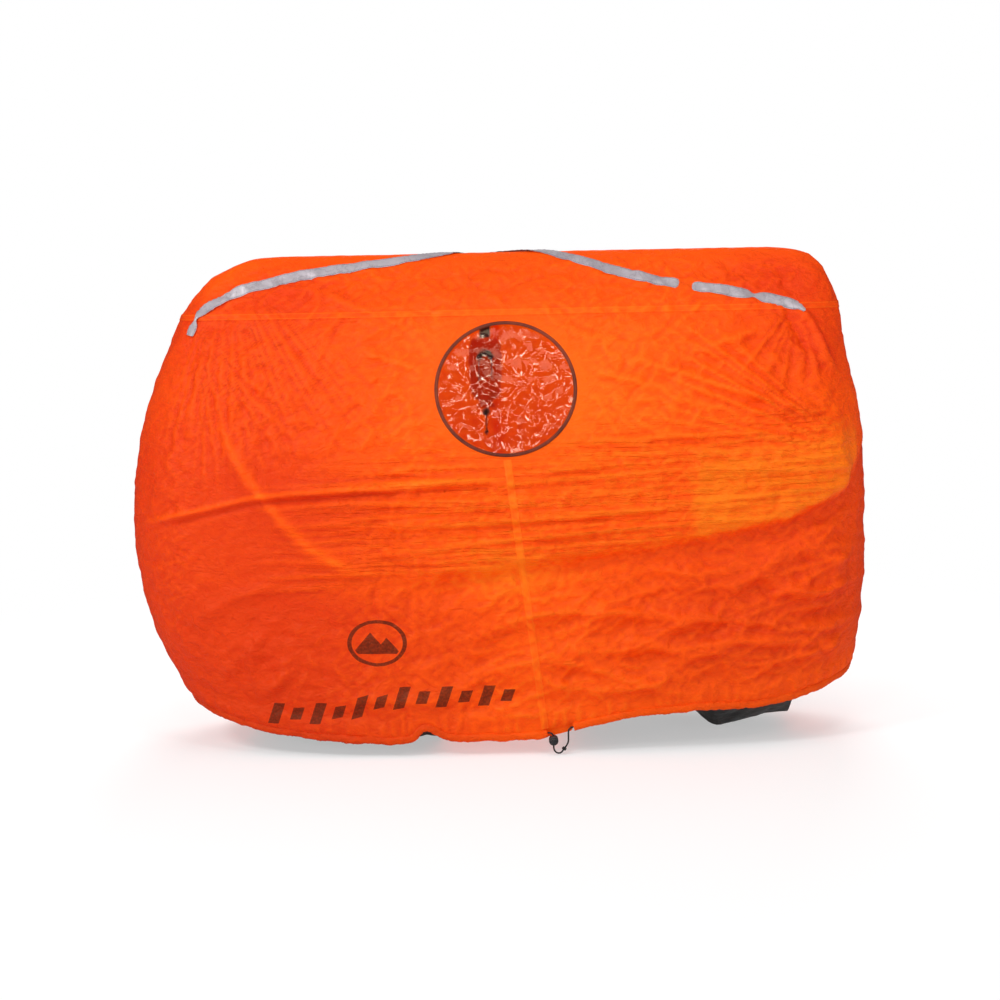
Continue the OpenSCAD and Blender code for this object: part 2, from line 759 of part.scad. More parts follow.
module sack_cord() {
    color("black") translate([sack_x, 0, sack_cord_foot])
        cylinder(h = sack_cord_length, d = sack_cord_d, $fn = 24);
}

module sack_cord_knot() {
    color("black") translate([sack_x, 0, sack_cord_foot + sack_knot_length])
        knot(sack_knot_d, sack_knot_length, sack_cord_d + 2 * seam_gap);
}

module sack_lock_body() {
    color("dimgray") stand_lock(sack_lock_place)
        lock_barrel(sack_lock_d, sack_lock_length, sack_lock_bore_d, sack_lock_hole_d);
}

module sack_lock_plunger() {
    color("black") stand_lock(sack_lock_place)
        lock_plunger(sack_lock_bore_d, sack_lock_travel, sack_lock_hole_d,
            sack_button_d);
}

module sack_lock_spring() {
    color("silver") stand_lock(sack_lock_place) lock_spring(sack_lock_length, sack_lock_bore_d);
}

wall_left();
wall_right();
roof_panel();
front_seam_tape();
rear_seam_tape();
roof_seam_tape();
window_pane();
window_binding();
reflective_tape_left();
reflective_tape_right();
hem_tunnel();
drawcord();
drawcord_loop();
drawcord_knot();
cord_lock_body();
cord_lock_plunger();
cord_lock_spring();
seat_left();
seat_right();
seat_left_binding();
seat_right_binding();
roof_hanger();
sack_strap();
stuff_sack();
sack_handle();
sack_cord();
sack_cord_knot();
sack_lock_body();
sack_lock_plunger();
sack_lock_spring();
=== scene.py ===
"""Two-person emergency shelter sack: a bag of thin orange nylon with a clear window, reflective
tapes, a drawcord hem, two sling seats and a stowage sack that hangs inside it."""
import bpy
import numpy as np
from mathutils import Matrix, Vector
from mathutils.geometry import delaunay_2d_cdt


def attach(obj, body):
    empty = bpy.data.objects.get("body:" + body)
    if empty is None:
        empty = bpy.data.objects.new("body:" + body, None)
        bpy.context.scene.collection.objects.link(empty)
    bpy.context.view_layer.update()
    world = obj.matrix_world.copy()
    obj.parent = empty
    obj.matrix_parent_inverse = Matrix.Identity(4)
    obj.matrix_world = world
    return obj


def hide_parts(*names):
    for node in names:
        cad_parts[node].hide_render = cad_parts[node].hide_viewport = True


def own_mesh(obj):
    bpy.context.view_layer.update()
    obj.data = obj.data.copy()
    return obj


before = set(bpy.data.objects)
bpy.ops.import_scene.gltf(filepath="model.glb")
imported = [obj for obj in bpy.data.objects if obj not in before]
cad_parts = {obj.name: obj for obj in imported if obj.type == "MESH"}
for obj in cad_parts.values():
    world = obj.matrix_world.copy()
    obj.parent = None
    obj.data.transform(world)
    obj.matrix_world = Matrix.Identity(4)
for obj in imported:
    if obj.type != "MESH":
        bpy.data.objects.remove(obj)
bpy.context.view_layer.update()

# ---- Canopy walls ----
# The left and right walls are thin coated nylon. Each wraps one end of the shelter, and they
# are sewn to each other down the front and rear. Inside, two people would hold them out, so
# the cloth is stretched tight between elbows and shoulders and hangs crumpled below them.
CANOPY_WIDTH, RIDGE_HEIGHT, CANOPY_DEPTH = 1.384, 0.912, 0.490
WIDEST_HEIGHT, ROOF_DROP, ROOF_SEAM_DEPTH, HEM_DEPTH = 0.430, 0.109, 0.260, 0.460
PLAN_SQUARENESS, ROOF_FULLNESS = 3.6, 1.6
LEFT_TOP = (0.377, 0.046)
RIGHT_TOP = (0.202, 0.058)
LEFT_BOTTOM = (0.290, 2.25)
RIGHT_BOTTOM = (0.290, 3.4)
BOTTOM_CLOSE = 0.020
HEM_HEIGHT, HEM_RIGHT_RISE, TUNNEL_HEIGHT = 0.028, 0.042, 0.014
HEM_LEFT_LIFT, HEM_RIGHT_LIFT = 0.062, 0.055
ROOF_SEAM_Z = RIDGE_HEIGHT - ROOF_DROP
WINDOW_RADIUS, WINDOW_X, WINDOW_Z = 0.1245, 0.016, ROOF_SEAM_Z - 0.136
SEAM_SLOPE = 0.1192
SPINE_HALF = 0.450
FOLD_DEPTH = 1.5
ROOF_END_ROUND = 0.016
LEFT_SHOULDER, RIGHT_SHOULDER = 0.013, 0.010
# The cloth's colour runs from NYLON_DEEP through NYLON to NYLON_LIGHT, following painted light and shade and a
# little random mottle.
NYLON = (0.98, 0.105, 0.003)
NYLON_LIGHT = (1.0, 0.225, 0.007)
NYLON_DEEP = (0.740, 0.045, 0.005)


def ease(u):
    """A smooth step from 0 to 1."""
    u = np.clip(u, 0, 1)
    return u * u * (3 - 2 * u)


def bell(u):
    """A smooth bump that is 1 in its middle."""
    return np.exp(-u * u)


def unit(v):
    return v / np.maximum(np.linalg.norm(v, axis=-1, keepdims=True), 1e-9)


def half_length(c, z):
    """Reach of the canopy from its middle to the left or right end at a height."""
    half = CANOPY_WIDTH / 2
    up = (z - WIDEST_HEIGHT) / (RIDGE_HEIGHT - WIDEST_HEIGHT + np.where(c > 0, RIGHT_TOP[1], LEFT_TOP[1]))
    up_width = np.where(c > 0, RIGHT_TOP[0], LEFT_TOP[0])
    top = half - up_width * (1 - np.sqrt(np.clip(1 - np.clip(up, 0, 1) ** 2, 0, 1)))
    top = top + np.where(c > 0, RIGHT_SHOULDER, LEFT_SHOULDER) * ease((z - 0.76) / 0.12)
    down = np.clip((WIDEST_HEIGHT - z) / (WIDEST_HEIGHT - BOTTOM_CLOSE), 0, 1)
    full = np.where(c > 0, RIGHT_BOTTOM[1], LEFT_BOTTOM[1])
    down_width = np.where(c > 0, RIGHT_BOTTOM[0], LEFT_BOTTOM[0])
    low = half - down_width * (1 - np.clip(1 - down ** full, 0, 1) ** (1 / full))
    return np.where(z > WIDEST_HEIGHT, top, low)


def girth_z(g):
    """Height at a place on the girth: 0 at the ridge, 1 at the roof seam, 2 on the ground."""
    return np.where(g < 1, RIDGE_HEIGHT - ROOF_DROP * np.clip(g, 0, 9) ** ROOF_FULLNESS, ROOF_SEAM_Z * (2 - g))


def z_girth(z):
    return 2 - z / ROOF_SEAM_Z


def girth_half_depth(g):
    """Half the depth of the canopy at a place on the girth."""
    z = girth_z(g)
    high = ((z - WIDEST_HEIGHT) / (ROOF_SEAM_Z - WIDEST_HEIGHT)) ** 2
    low = ((WIDEST_HEIGHT - z) / (WIDEST_HEIGHT - HEM_HEIGHT)) ** 2
    wall = np.where(z > WIDEST_HEIGHT, CANOPY_DEPTH / 2 - (CANOPY_DEPTH - ROOF_SEAM_DEPTH) / 2 * high,
                    CANOPY_DEPTH / 2 - (CANOPY_DEPTH - HEM_DEPTH) / 2 * low)
    return np.where(g < 1, ROOF_SEAM_DEPTH / 2 * g, wall)


def seam_x(z):
    """Where the front seam stands at a height: it slants away from the window."""
    return WINDOW_X + SEAM_SLOPE * np.clip(WINDOW_Z - WINDOW_RADIUS - z, 0, 9)


def crowd(c, z, side):
    """Shifts the front's share of the length so that its middle lies on the slanting seam."""
    return c + np.where(side < 0, seam_x(z) / half_length(1, z), 0) * (1 - np.abs(c))


def plan_c(turn):
    """Share of the half length at a turn round the plan, which is a soft rectangle."""
    n = PLAN_SQUARENESS
    return np.cos(turn) / (np.abs(np.cos(turn)) ** n + np.abs(np.sin(turn)) ** n) ** (1 / n)


def hem_x(c):
    return c * half_length(c, HEM_HEIGHT + TUNNEL_HEIGHT)


def hem_z(c):
    """Height of the hem's lower edge, which rises to the right and at both ends."""
    return (HEM_HEIGHT + HEM_RIGHT_RISE * ease((hem_x(c) - 0.020) / 0.240)
            + np.where(c > 0, HEM_RIGHT_LIFT, HEM_LEFT_LIFT) * np.abs(c) ** 6
            + 0.021 * bell((hem_x(c) + 0.135) / 0.026) - 0.004 * bell((hem_x(c) + 0.22) / 0.05)
            + 0.005 * bell((hem_x(c) - 0.33) / 0.05) - 0.004 * bell((hem_x(c) - 0.45) / 0.05))


def smooth_canopy(c, g, side):
    """Points of the unwrinkled canopy, and the way that the cloth faces at each."""
    c, g, side = np.broadcast_arrays(np.asarray(c, float), np.asarray(g, float), np.asarray(side, float))
    z = girth_z(g)
    across = np.clip(1 - np.abs(c) ** PLAN_SQUARENESS, 0, 1) ** (1 / PLAN_SQUARENESS)
    round_end = np.clip((np.abs(c) - 0.84) / 0.16, 0, 1) ** 2.4 * np.clip(1 - g, 0, 1)
    p = np.stack([c * half_length(c, z), side * across * girth_half_depth(g), z - ROOF_END_ROUND * round_end], -1)
    reach = p[..., 0] - np.clip(p[..., 0], -SPINE_HALF, SPINE_HALF)
    level = np.stack([reach, p[..., 1], 0 * reach], -1)
    level = unit(level)
    tip = (np.pi / 2 * (1 - np.clip(g, 0, 1)))[..., None]
    out = np.cos(tip) * level + np.sin(tip) * np.array([0, 0, 1.0])
    return p, unit(out)


EDGE_WAYS = np.array([[1, 1, 0], [-1, 1, 0], [1, -1, 0], [-1, -1, 0], [1, 0, 1], [-1, 0, 1],
                      [1, 0, -1], [-1, 0, -1], [0, 1, 1], [0, -1, 1], [0, 1, -1], [0, -1, -1]], float)


HASH_STEPS = np.array([374761393, 668265263, 1440662683])


def grain(p, seed=0):
    """Smooth noise from -1 to 1 in space: one waver for each unit of length."""
    base = np.floor(p).astype(np.int64)
    part = p - base
    soft = part ** 3 * (part * (part * 6 - 15) + 10)
    total = 0.0
    for corner in np.ndindex(2, 2, 2):
        cell = base + corner
        h = (cell @ HASH_STEPS + seed * 974711) & 0xFFFFFFFF
        h = ((h ^ (h >> 13)) * 1274126177) & 0xFFFFFFFF
        way = EDGE_WAYS[(h ^ (h >> 16)) % 12]
        share = np.prod(np.where(np.array(corner) > 0, soft, 1 - soft), -1)
        total = total + share * ((part - corner) * way).sum(-1)
    return total


def ridges(p, seed=0, sharp=1.6):
    """Noise with sharp crests, as in crumpled cloth, from 0 to 1."""
    return np.clip(1 - 2.2 * np.abs(grain(p, seed)), 0, 1) ** sharp


def from_line(x, z, points):
    """Distance to a line of points, its sign (above is positive), and how far along it, 0 to 1."""
    pts = np.array(points, float)
    runs = np.linalg.norm(np.diff(pts, axis=0), axis=1)
    starts = np.concatenate([[0], np.cumsum(runs)])
    best = np.full(np.shape(x), 9.0)
    sign, along = np.ones(np.shape(x)), np.zeros(np.shape(x))
    for a, b, run, start in zip(pts[:-1], pts[1:], runs, starts):
        d = (b - a) / run
        t = np.clip((x - a[0]) * d[0] + (z - a[1]) * d[1], 0, run)
        gap = np.hypot(x - a[0] - t * d[0], z - a[1] - t * d[1])
        near = gap < best
        best = np.where(near, gap, best)
        sign = np.where(near, np.sign((z - a[1]) * d[0] - (x - a[0]) * d[1]), sign)
        along = np.where(near, (start + t) / starts[-1], along)
    return best, sign, along


def crease(x, z, points, width, height, ends=0.2):
    """One fold that stands up along a line and dies away at its ends."""
    gap, _, along = from_line(x, z, points)
    return height * ease(along / ends) * ease((1 - along) / ends) / (1 + (gap / width) ** 2) ** 1.5


def fan(x, z, apex, low, high, near, far, count, seed):
    """Creases that spread from a pulled point between two directions, in degrees."""
    dx, dz = x - apex[0], z - apex[1]
    reach = np.hypot(dx, dz)
    turn = np.degrees(np.arctan2(dz, dx)) % 360
    share = ((turn - low) % 360) / ((high - low) % 360)
    inside = ease(share / 0.15) * ease((1 - share) / 0.15) * (share < 1)
    wave = ridges(np.stack([share * count, reach * 2.2, 0 * x + seed], -1), seed)
    fades = ease((reach - near) / 0.05) * ease((far - reach) / (0.6 * far)) * np.clip(reach / 0.12, 0, 1)
    return inside * wave * fades


TAUT_EDGE = [(-0.30, 0.315), (-0.109, 0.329), (0.035, 0.348), (0.179, 0.367), (0.359, 0.390), (0.524, 0.421),
             (0.631, 0.468), (0.668, 0.53)]
SHIN_RIDGE = [(-0.529, 0.630), (-0.491, 0.586), (-0.447, 0.514), (-0.393, 0.443), (-0.342, 0.392),
              (-0.279, 0.354), (-0.181, 0.335)]
LONG_CREASE = [(-0.665, 0.428), (-0.579, 0.449), (-0.429, 0.484), (-0.212, 0.497), (0.038, 0.510)]
ELBOW = (0.640, 0.545)
LEFT_CORNER = (-0.545, 0.785)
RIGHT_CORNER = (0.560, 0.812)


def front_folds(x, z):
    """Folds on the front, as height above the smooth cloth."""
    gap, above, along = from_line(x, z, TAUT_EDGE)
    rise = above * gap
    reach = ease(along / 0.25) * ease((1.06 - along) / 0.12)
    folds = 0.011 * ease((rise + 0.012) / 0.030) * bell(np.clip(rise, 0, 9) / 0.17) * reach
    folds = folds - 0.004 * bell((rise + 0.028) / 0.022) * reach
    # Tight level creases between the two people's arms
    belt = ease((rise + 0.005) / 0.04) * ease((0.585 + 0.10 * x - z) / 0.05)
    belt = belt * ease((x + 0.50) / 0.22) * ease((0.66 - x) / 0.10)
    tilt = z - 0.045 * x - 0.03 * x * x
    level = np.stack([x * 1.15, tilt * 30, 0 * x + 3], -1)
    folds = folds + belt * (0.0046 * ridges(level, 5, 2.2) + 0.0022 * ridges(level * [2.2, 2.1, 1], 6, 2.0))
    # The ridge of a knee and shin, and the long crease that starts behind it
    folds = folds + crease(x, z, SHIN_RIDGE, 0.030, 0.012, 0.25)
    folds = folds + crease(x, z, LONG_CREASE, 0.008, 0.006, 0.12)
    folds = folds - crease(x, z, [(a, b - 0.011) for a, b in LONG_CREASE], 0.008, 0.004, 0.12)
    # Creases drawn to the elbow on the right, from above and from the window
    folds = folds + 0.0055 * fan(x, z, ELBOW, 132, 178, 0.05, 0.50, 9, 11)
    for start, bend in (((0.20, 0.735), 0.005), ((0.30, 0.70), 0.006), ((0.24, 0.655), 0.006),
                        ((0.14, 0.752), 0.004)):
        middle = (0.5 * (start[0] + ELBOW[0]), 0.5 * (start[1] + ELBOW[1]) + 0.02)
        end = (ELBOW[0] - 0.02, ELBOW[1] + 0.055)
        folds = folds + crease(x, z, [start, middle, end], 0.010, 0.55 * bend, 0.3)
    # The rounded elbow itself
    folds = folds + 0.012 * bell((x - 0.600) / 0.075) * bell((z - 0.540) / 0.085)
    # Fine upright creases under the left corner, and the pull from the corner itself
    folds = folds + 0.0035 * fan(x, z, (-0.50, 0.93), 245, 318, 0.12, 0.52, 24, 21)
    folds = folds + 0.0045 * fan(x, z, LEFT_CORNER, 262, 330, 0.02, 0.34, 9, 23)
    # The pinched right corner
    folds = folds + 0.0050 * fan(x, z, RIGHT_CORNER, 205, 320, 0.010, 0.26, 8, 31)
    folds = folds + crease(x, z, [(0.535, 0.825), (0.575, 0.775), (0.60, 0.715), (0.63, 0.66)], 0.012, 0.009, 0.3)
    folds = folds - crease(x, z, [(0.53, 0.80), (0.55, 0.765), (0.575, 0.71)], 0.010, 0.006, 0.3)
    folds = folds + crease(x, z, [(0.36, 0.73), (0.44, 0.75), (0.50, 0.775), (0.54, 0.80)], 0.014, 0.008, 0.3)
    # Slack folds below the taut cloth
    slack = ease((-rise - 0.01) / 0.05) * ease((x + 0.12) / 0.10)
    low = np.stack([x * 4.2 + 1.5 * z, z * 13 - 3 * x, 0 * x + 7], -1)
    folds = folds + slack * (0.0085 * ridges(low, 41, 1.5) + 0.0030 * ridges(low * 2.3, 42, 1.6))
    for line, height in (([(0.105, 0.295), (0.195, 0.265), (0.321, 0.250), (0.431, 0.256)], 0.009),
                         ([(0.177, 0.213), (0.321, 0.190), (0.430, 0.205), (0.602, 0.191), (0.65, 0.215)], 0.011),
                         ([(0.050, 0.187), (0.176, 0.156), (0.339, 0.100), (0.431, 0.085)], 0.010),
                         ([(0.48, 0.30), (0.58, 0.285), (0.66, 0.31)], 0.009),
                         ([(0.54, 0.36), (0.62, 0.345), (0.68, 0.37)], 0.007),
                         ([(-0.589, 0.237), (-0.491, 0.297), (-0.379, 0.333)], 0.006),
                         ([(-0.528, 0.143), (-0.458, 0.203), (-0.418, 0.260)], 0.007),
                         ([(-0.46, 0.105), (-0.405, 0.145), (-0.37, 0.19)], 0.008),
                         ([(-0.316, 0.085), (-0.25, 0.11), (-0.15, 0.10), (-0.05, 0.125)], 0.007)):
        folds = folds + crease(x, z, line, 0.016, height, 0.3)
    # Soft slanting folds by the window and down from the seams
    for line, height in (([(-0.36, 0.859), (-0.303, 0.839), (-0.214, 0.800), (-0.13, 0.76)], 0.006),
                         ([(-0.34, 0.82), (-0.247, 0.794), (-0.156, 0.765)], 0.004),
                         ([(-0.25, 0.735), (-0.17, 0.715), (-0.11, 0.69)], 0.004),
                         ([(0.135, 0.70), (0.259, 0.675), (0.366, 0.640)], 0.005),
                         ([(0.111, 0.593), (0.254, 0.563), (0.42, 0.55)], 0.004)):
        folds = folds + crease(x, z, line, 0.011, height, 0.35)
    return folds


def rear_folds(x, z):
    """Folds on the rear: it is stretched over two backs, and slack between and below them."""
    folds = 0
    for middle, height in ((-0.33, 0.47), (0.31, 0.49)):
        folds = folds + 0.012 * bell((x - middle) / 0.19) * bell((z - height) / 0.20)
        folds = folds + 0.0050 * fan(x, z, (middle, height + 0.18), 200, 340, 0.10, 0.52, 15, 51)
    between = bell((x + 0.01) / 0.17)
    hang = np.stack([x * 17, z * 1.9, 0 * x + 2], -1)
    folds = folds + between * 0.0080 * ridges(hang, 61, 1.6) * ease((0.76 - z) / 0.2)
    level = np.stack([x * 1.4, (z - 0.05 * np.cos(5 * x)) * 26, 0 * x + 9], -1)
    folds = folds + 0.0042 * ridges(level, 62, 2.0) * bell((z - 0.50) / 0.12)
    low = np.stack([x * 5 - 2 * z, z * 11 + 2 * x, 0 * x + 5], -1)
    return folds + ease((0.34 - z) / 0.10) * 0.0085 * ridges(low, 63, 1.5)


def folds_at(p, c):
    """Height of the wrinkled cloth above the smooth canopy."""
    x, y, z = p[..., 0], p[..., 1], p[..., 2]
    front = ease((0.030 - y) / 0.11)
    folds = front * front_folds(x, z) + (1 - front) * rear_folds(x, z)
    # Upright folds round both ends, and a fine crumple all over
    ends = ease((np.abs(c) - 0.86) / 0.10)
    around = np.stack([x * 10, y * 12, z * 2.6], -1)
    folds = folds + ends * (0.0026 * ridges(around, 71, 1.5) * (0.35 + 0.65 * ease((0.75 - z) / 0.2)) - 0.0035)
    quiet = 1 - 0.65 * ends
    folds = folds * (1 - 0.70 * ease((np.abs(c) - 0.88) / 0.08))
    folds = folds + quiet * (0.0045 * grain(p * [2.6, 2.6, 3.2], 72) + 0.0030 * grain(p * [6, 6, 7.5], 73))
    folds = folds + ends * 0.008 * ease((z - 0.70) / 0.12)
    smooth = ease((x + 0.60) / 0.08) * ease((-0.20 - x) / 0.12) * ease((0.58 - z) / 0.06) * ease((z - 0.22) / 0.08)
    rough = 1 - 0.75 * front * smooth
    small = 0.0026 * ridges(p * [17, 17, 19], 74, 1.5) - 0.0024 * ridges(p * [15, 15, 19], 77, 1.5)
    fine = 0.0013 * ridges(p * [38, 38, 42], 75, 1.5) - 0.0014 * ridges(p * [34, 34, 41], 78, 1.5)
    folds = folds + rough * quiet * (small + fine)
    # Calm cloth round the window, at the ridge and close to the hem
    window = np.hypot(x - WINDOW_X, (z - WINDOW_Z) * 1.05) - WINDOW_RADIUS
    calm = np.where(y < -0.02, 0.16 + 0.84 * ease((window - 0.004) / 0.055), 1)
    high = 0.12 + 0.88 * ease((RIDGE_HEIGHT - z) / 0.045)
    over_hem = z - hem_z(c) - TUNNEL_HEIGHT
    low = ease(over_hem / 0.050)
    ruffles = ridges(np.stack([x * 46, y * 46, z * 5], -1), 76, 1.2)
    gather = 0.0052 * (1 - low) * ease((over_hem + 0.004) / 0.012) * ruffles
    return (FOLD_DEPTH * folds - 0.006) * calm * high * low + gather


def skin(c, g, side, lift=0.0):
    """Points on the wrinkled cloth, lifted off it by a little where something is sewn on."""
    p, out = smooth_canopy(c, g, side)
    return p + (folds_at(p, np.asarray(c, float) + 0 * p[..., 0]) + lift)[..., None] * out


def new_mesh(name, verts, faces):
    mesh = bpy.data.meshes.new(name)
    mesh.from_pydata(np.asarray(verts, float).reshape(-1, 3).tolist(), [], faces)
    mesh.validate()
    mesh.polygons.foreach_set("use_smooth", [True] * len(mesh.polygons))
    obj = bpy.data.objects.new(name, mesh)
    bpy.context.scene.collection.objects.link(obj)
    return obj


def set_floats(obj, label, values):
    """Keeps one number for each point, for a material to read."""
    numbers = np.ravel(values).astype(np.float32)
    obj.data.attributes.new(label, "FLOAT", "POINT").data.foreach_set("value", numbers)


def run_marks(points):
    """How far along a line each of its points lies."""
    return np.concatenate([[0], np.cumsum(np.linalg.norm(np.diff(points, axis=0), axis=1))])


def dress(obj, mat, body, node=None):
    """Gives a piece its material, slot and body, and the solid that it stands for."""
    obj.data.materials.clear()
    obj.data.materials.append(mat)
    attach(obj, body)
    if node:
        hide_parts(node)


def grid_faces(rows, cols, closed=False, skip=None):
    """Quads of a grid whose rows go up and whose columns go round to the left."""
    faces = []
    for r in range(rows - 1):
        for k in range(cols if closed else cols - 1):
            quad = (r * cols + k, (r + 1) * cols + k, (r + 1) * cols + (k + 1) % cols, r * cols + (k + 1) % cols)
            if skip is None or not all(skip[v] for v in quad):
                faces.append(quad)
    return faces


def used_only(verts, faces):
    """Drops the points that no face uses."""
    keep = sorted({v for f in faces for v in f})
    place = {v: i for i, v in enumerate(keep)}
    return verts[keep], [tuple(place[v] for v in f) for f in faces]


def even_turns(first, last, step):
    """Turns round the plan at even steps of length, from one seam to another."""
    fine = np.radians(np.linspace(first, last, 3000))
    p, _ = smooth_canopy(plan_c(fine), z_girth(WIDEST_HEIGHT), np.where(np.sin(fine) < 0, -1, 1))
    length = run_marks(p)
    count = int(length[-1] / step) + 1
    return np.interp(np.linspace(0, length[-1], count), length, fine)


def window_reach(p):
    """Distance from the window's centre, measured on the leaning cloth."""
    return np.hypot(p[..., 0] - WINDOW_X, (p[..., 2] - WINDOW_Z) / WINDOW_LEAN)


WINDOW_LEAN = 0.931
CLOTH_STEP = 0.0043


def wall_cloth(name, first, last):
    """One wall from a first to a last turn round the plan, in degrees, with its part of the window's hole."""
    turns = even_turns(first, last, CLOTH_STEP)
    rows = int(0.78 / CLOTH_STEP)
    side = np.where(np.sin(turns) < -1e-9, -1.0, 1.0)
    if first > 180:
        side[0] = -1.0
    if last < 300:
        side[-1] = -1.0
    plan = plan_c(turns)
    hem_c = crowd(plan, HEM_HEIGHT + TUNNEL_HEIGHT, side)
    # Between the tunnel's two mouths the plain edge of the cloth hangs down behind the cord.
    between = (side < 0) * ease((hem_x(hem_c) - 0.074) / 0.005) * ease((0.128 - hem_x(hem_c)) / 0.005)
    low = z_girth(hem_z(hem_c) + TUNNEL_HEIGHT - 0.003 - 0.012 * between)
    share = np.linspace(0, 1, rows)[:, None]
    g = low + (1.0 - low) * share
    c = crowd(plan, girth_z(g), side)
    side = side + 0 * g
    p, _ = smooth_canopy(c, g, side)
    reach = window_reach(p)
    hole = ((reach < WINDOW_RADIUS) & (p[..., 1] < 0)).ravel()
    faces = grid_faces(rows, len(turns), skip=hole)
    # The cloth's edge at the window is drawn out to a clean round.
    rim = hole.reshape(reach.shape)
    grow = np.where(rim, WINDOW_RADIUS / np.maximum(reach, 1e-6), 1)
    x = WINDOW_X + (p[..., 0] - WINDOW_X) * grow
    z = WINDOW_Z + (p[..., 2] - WINDOW_Z) * grow
    c = np.where(rim, x / half_length(x, z), c)
    g = np.where(rim, z_girth(z), g)
    tuck = -0.0048 * between * ease((z_girth(hem_z(hem_c) + TUNNEL_HEIGHT + 0.004) - g) / -0.008)
    verts, faces = used_only(skin(c, g, side, tuck).reshape(-1, 3), faces)
    return new_mesh(name, verts, faces)


wall_left = wall_cloth("wall_left_cloth", 90, 270)
wall_right = wall_cloth("wall_right_cloth", 270, 450)


def add_group(name, inputs, outputs):
    """A shader node group with named number or colour inputs and outputs."""
    tree = bpy.data.node_groups.new(name, "ShaderNodeTree")
    for label, kind, value in inputs:
        socket = tree.interface.new_socket(name=label, in_out="INPUT", socket_type=kind)
        if value is not None:
            socket.default_value = value
    for label, kind in outputs:
        tree.interface.new_socket(name=label, in_out="OUTPUT", socket_type=kind)
    return tree, tree.nodes.new("NodeGroupInput"), tree.nodes.new("NodeGroupOutput")


def add_node(tree, kind, links=(), **values):
    """A node with its settings, its constants by socket name, and its links in."""
    node = tree.nodes.new(kind)
    for key, value in values.items():
        if hasattr(node, key) and key not in node.inputs:
            setattr(node, key, value)
    for socket, value in values.get("put", {}).items():
        node.inputs[socket].default_value = value
    for socket, source in dict(links).items():
        tree.links.new(source, node.inputs[socket])
    return node


def calc(tree, way, *terms):
    """A sum on sockets and plain numbers."""
    node = tree.nodes.new("ShaderNodeMath")
    node.operation = way
    for place, term in enumerate(terms):
        if isinstance(term, bpy.types.NodeSocket):
            tree.links.new(term, node.inputs[place])
        else:
            node.inputs[place].default_value = term
    return node.outputs[0]


def remap(tree, value, span=(0.0, 1.0), to=(0.0, 1.0), **settings):
    """One span of values mapped to another."""
    put = {"From Min": span[0], "From Max": span[1], "To Min": to[0], "To Max": to[1]}
    return add_node(tree, "ShaderNodeMapRange", {"Value": value}, put=put, **settings).outputs[0]


def noise(tree, place, **values):
    return add_node(tree, "ShaderNodeTexNoise", {"Vector": place}, put=values).outputs["Fac"]


def attribute(tree, name):
    return add_node(tree, "ShaderNodeAttribute", attribute_name=name).outputs["Fac"]


def object_place(tree):
    return add_node(tree, "ShaderNodeTexCoord").outputs["Object"]


def weave_group():
    """Plain weave of fine yarns: Height of the cloth's face, and a Shade that yarns vary by."""
    tree, gin, gout = add_group("plain_weave",
                                [("Vector", "NodeSocketVector", None), ("Yarns", "NodeSocketFloat", 900.0)],
                                [("Height", "NodeSocketFloat"), ("Shade", "NodeSocketFloat")])
    size = add_node(tree, "ShaderNodeVectorMath", {0: gin.outputs["Vector"], "Scale": gin.outputs["Yarns"]},
                    operation="SCALE")
    parts = add_node(tree, "ShaderNodeSeparateXYZ", {0: size.outputs[0]})
    flat = calc(tree, "ADD", parts.outputs[0], parts.outputs[1])
    warp = calc(tree, "SINE", flat)
    weft = calc(tree, "SINE", parts.outputs[2])
    cross = calc(tree, "MULTIPLY", warp, weft)
    tree.links.new(cross, gout.inputs["Height"])
    slub = noise(tree, gin.outputs["Vector"], Scale=340.0, Detail=2.0)
    tree.links.new(slub, gout.inputs["Shade"])
    return tree


def crinkle_group():
    """Small sharp crinkles of thin stiff sheet: Height, and a broader Dust noise."""
    tree, gin, gout = add_group("fine_crinkle",
                                [("Vector", "NodeSocketVector", None), ("Size", "NodeSocketFloat", 40.0),
                                 ("Stretch", "NodeSocketFloat", 1.0)],
                                [("Height", "NodeSocketFloat"), ("Dust", "NodeSocketFloat")])
    wide = add_node(tree, "ShaderNodeCombineXYZ", {2: gin.outputs["Stretch"]}, put={0: 1.0, 1: 1.0})
    drawn = add_node(tree, "ShaderNodeVectorMath", {0: gin.outputs["Vector"], 1: wide.outputs[0]},
                     operation="MULTIPLY")
    waver = add_node(tree, "ShaderNodeTexNoise", {"Vector": drawn.outputs[0], "Scale": gin.outputs["Size"]},
                     put={"Detail": 4.0, "Roughness": 0.55, "Distortion": 0.6})
    fold = calc(tree, "SUBTRACT", waver.outputs["Fac"], 0.5)
    crest = calc(tree, "ABSOLUTE", fold)
    sharp = remap(tree, crest, span=(0.0, 0.16), to=(1.0, 0.0))
    tree.links.new(sharp, gout.inputs["Height"])
    dust = noise(tree, gin.outputs["Vector"], Scale=9.0, Detail=5.0, Roughness=0.7)
    tree.links.new(dust, gout.inputs["Dust"])
    return tree


WEAVE, CRINKLE = weave_group(), crinkle_group()


def use_group(tree, group, **values):
    node = tree.nodes.new("ShaderNodeGroup")
    node.node_tree = group
    for key, value in values.items():
        if isinstance(value, bpy.types.NodeSocket):
            tree.links.new(value, node.inputs[key])
        else:
            node.inputs[key].default_value = value
    return node


def new_material(name, **values):
    """A material and its Principled shader, with constants set on the shader's own sockets."""
    mat = bpy.data.materials.new(name)
    mat.use_nodes = True
    tree = mat.node_tree
    shader = tree.nodes["Principled BSDF"]
    for key, value in values.items():
        shader.inputs[key.replace("_", " ")].default_value = value
    return mat, tree, shader


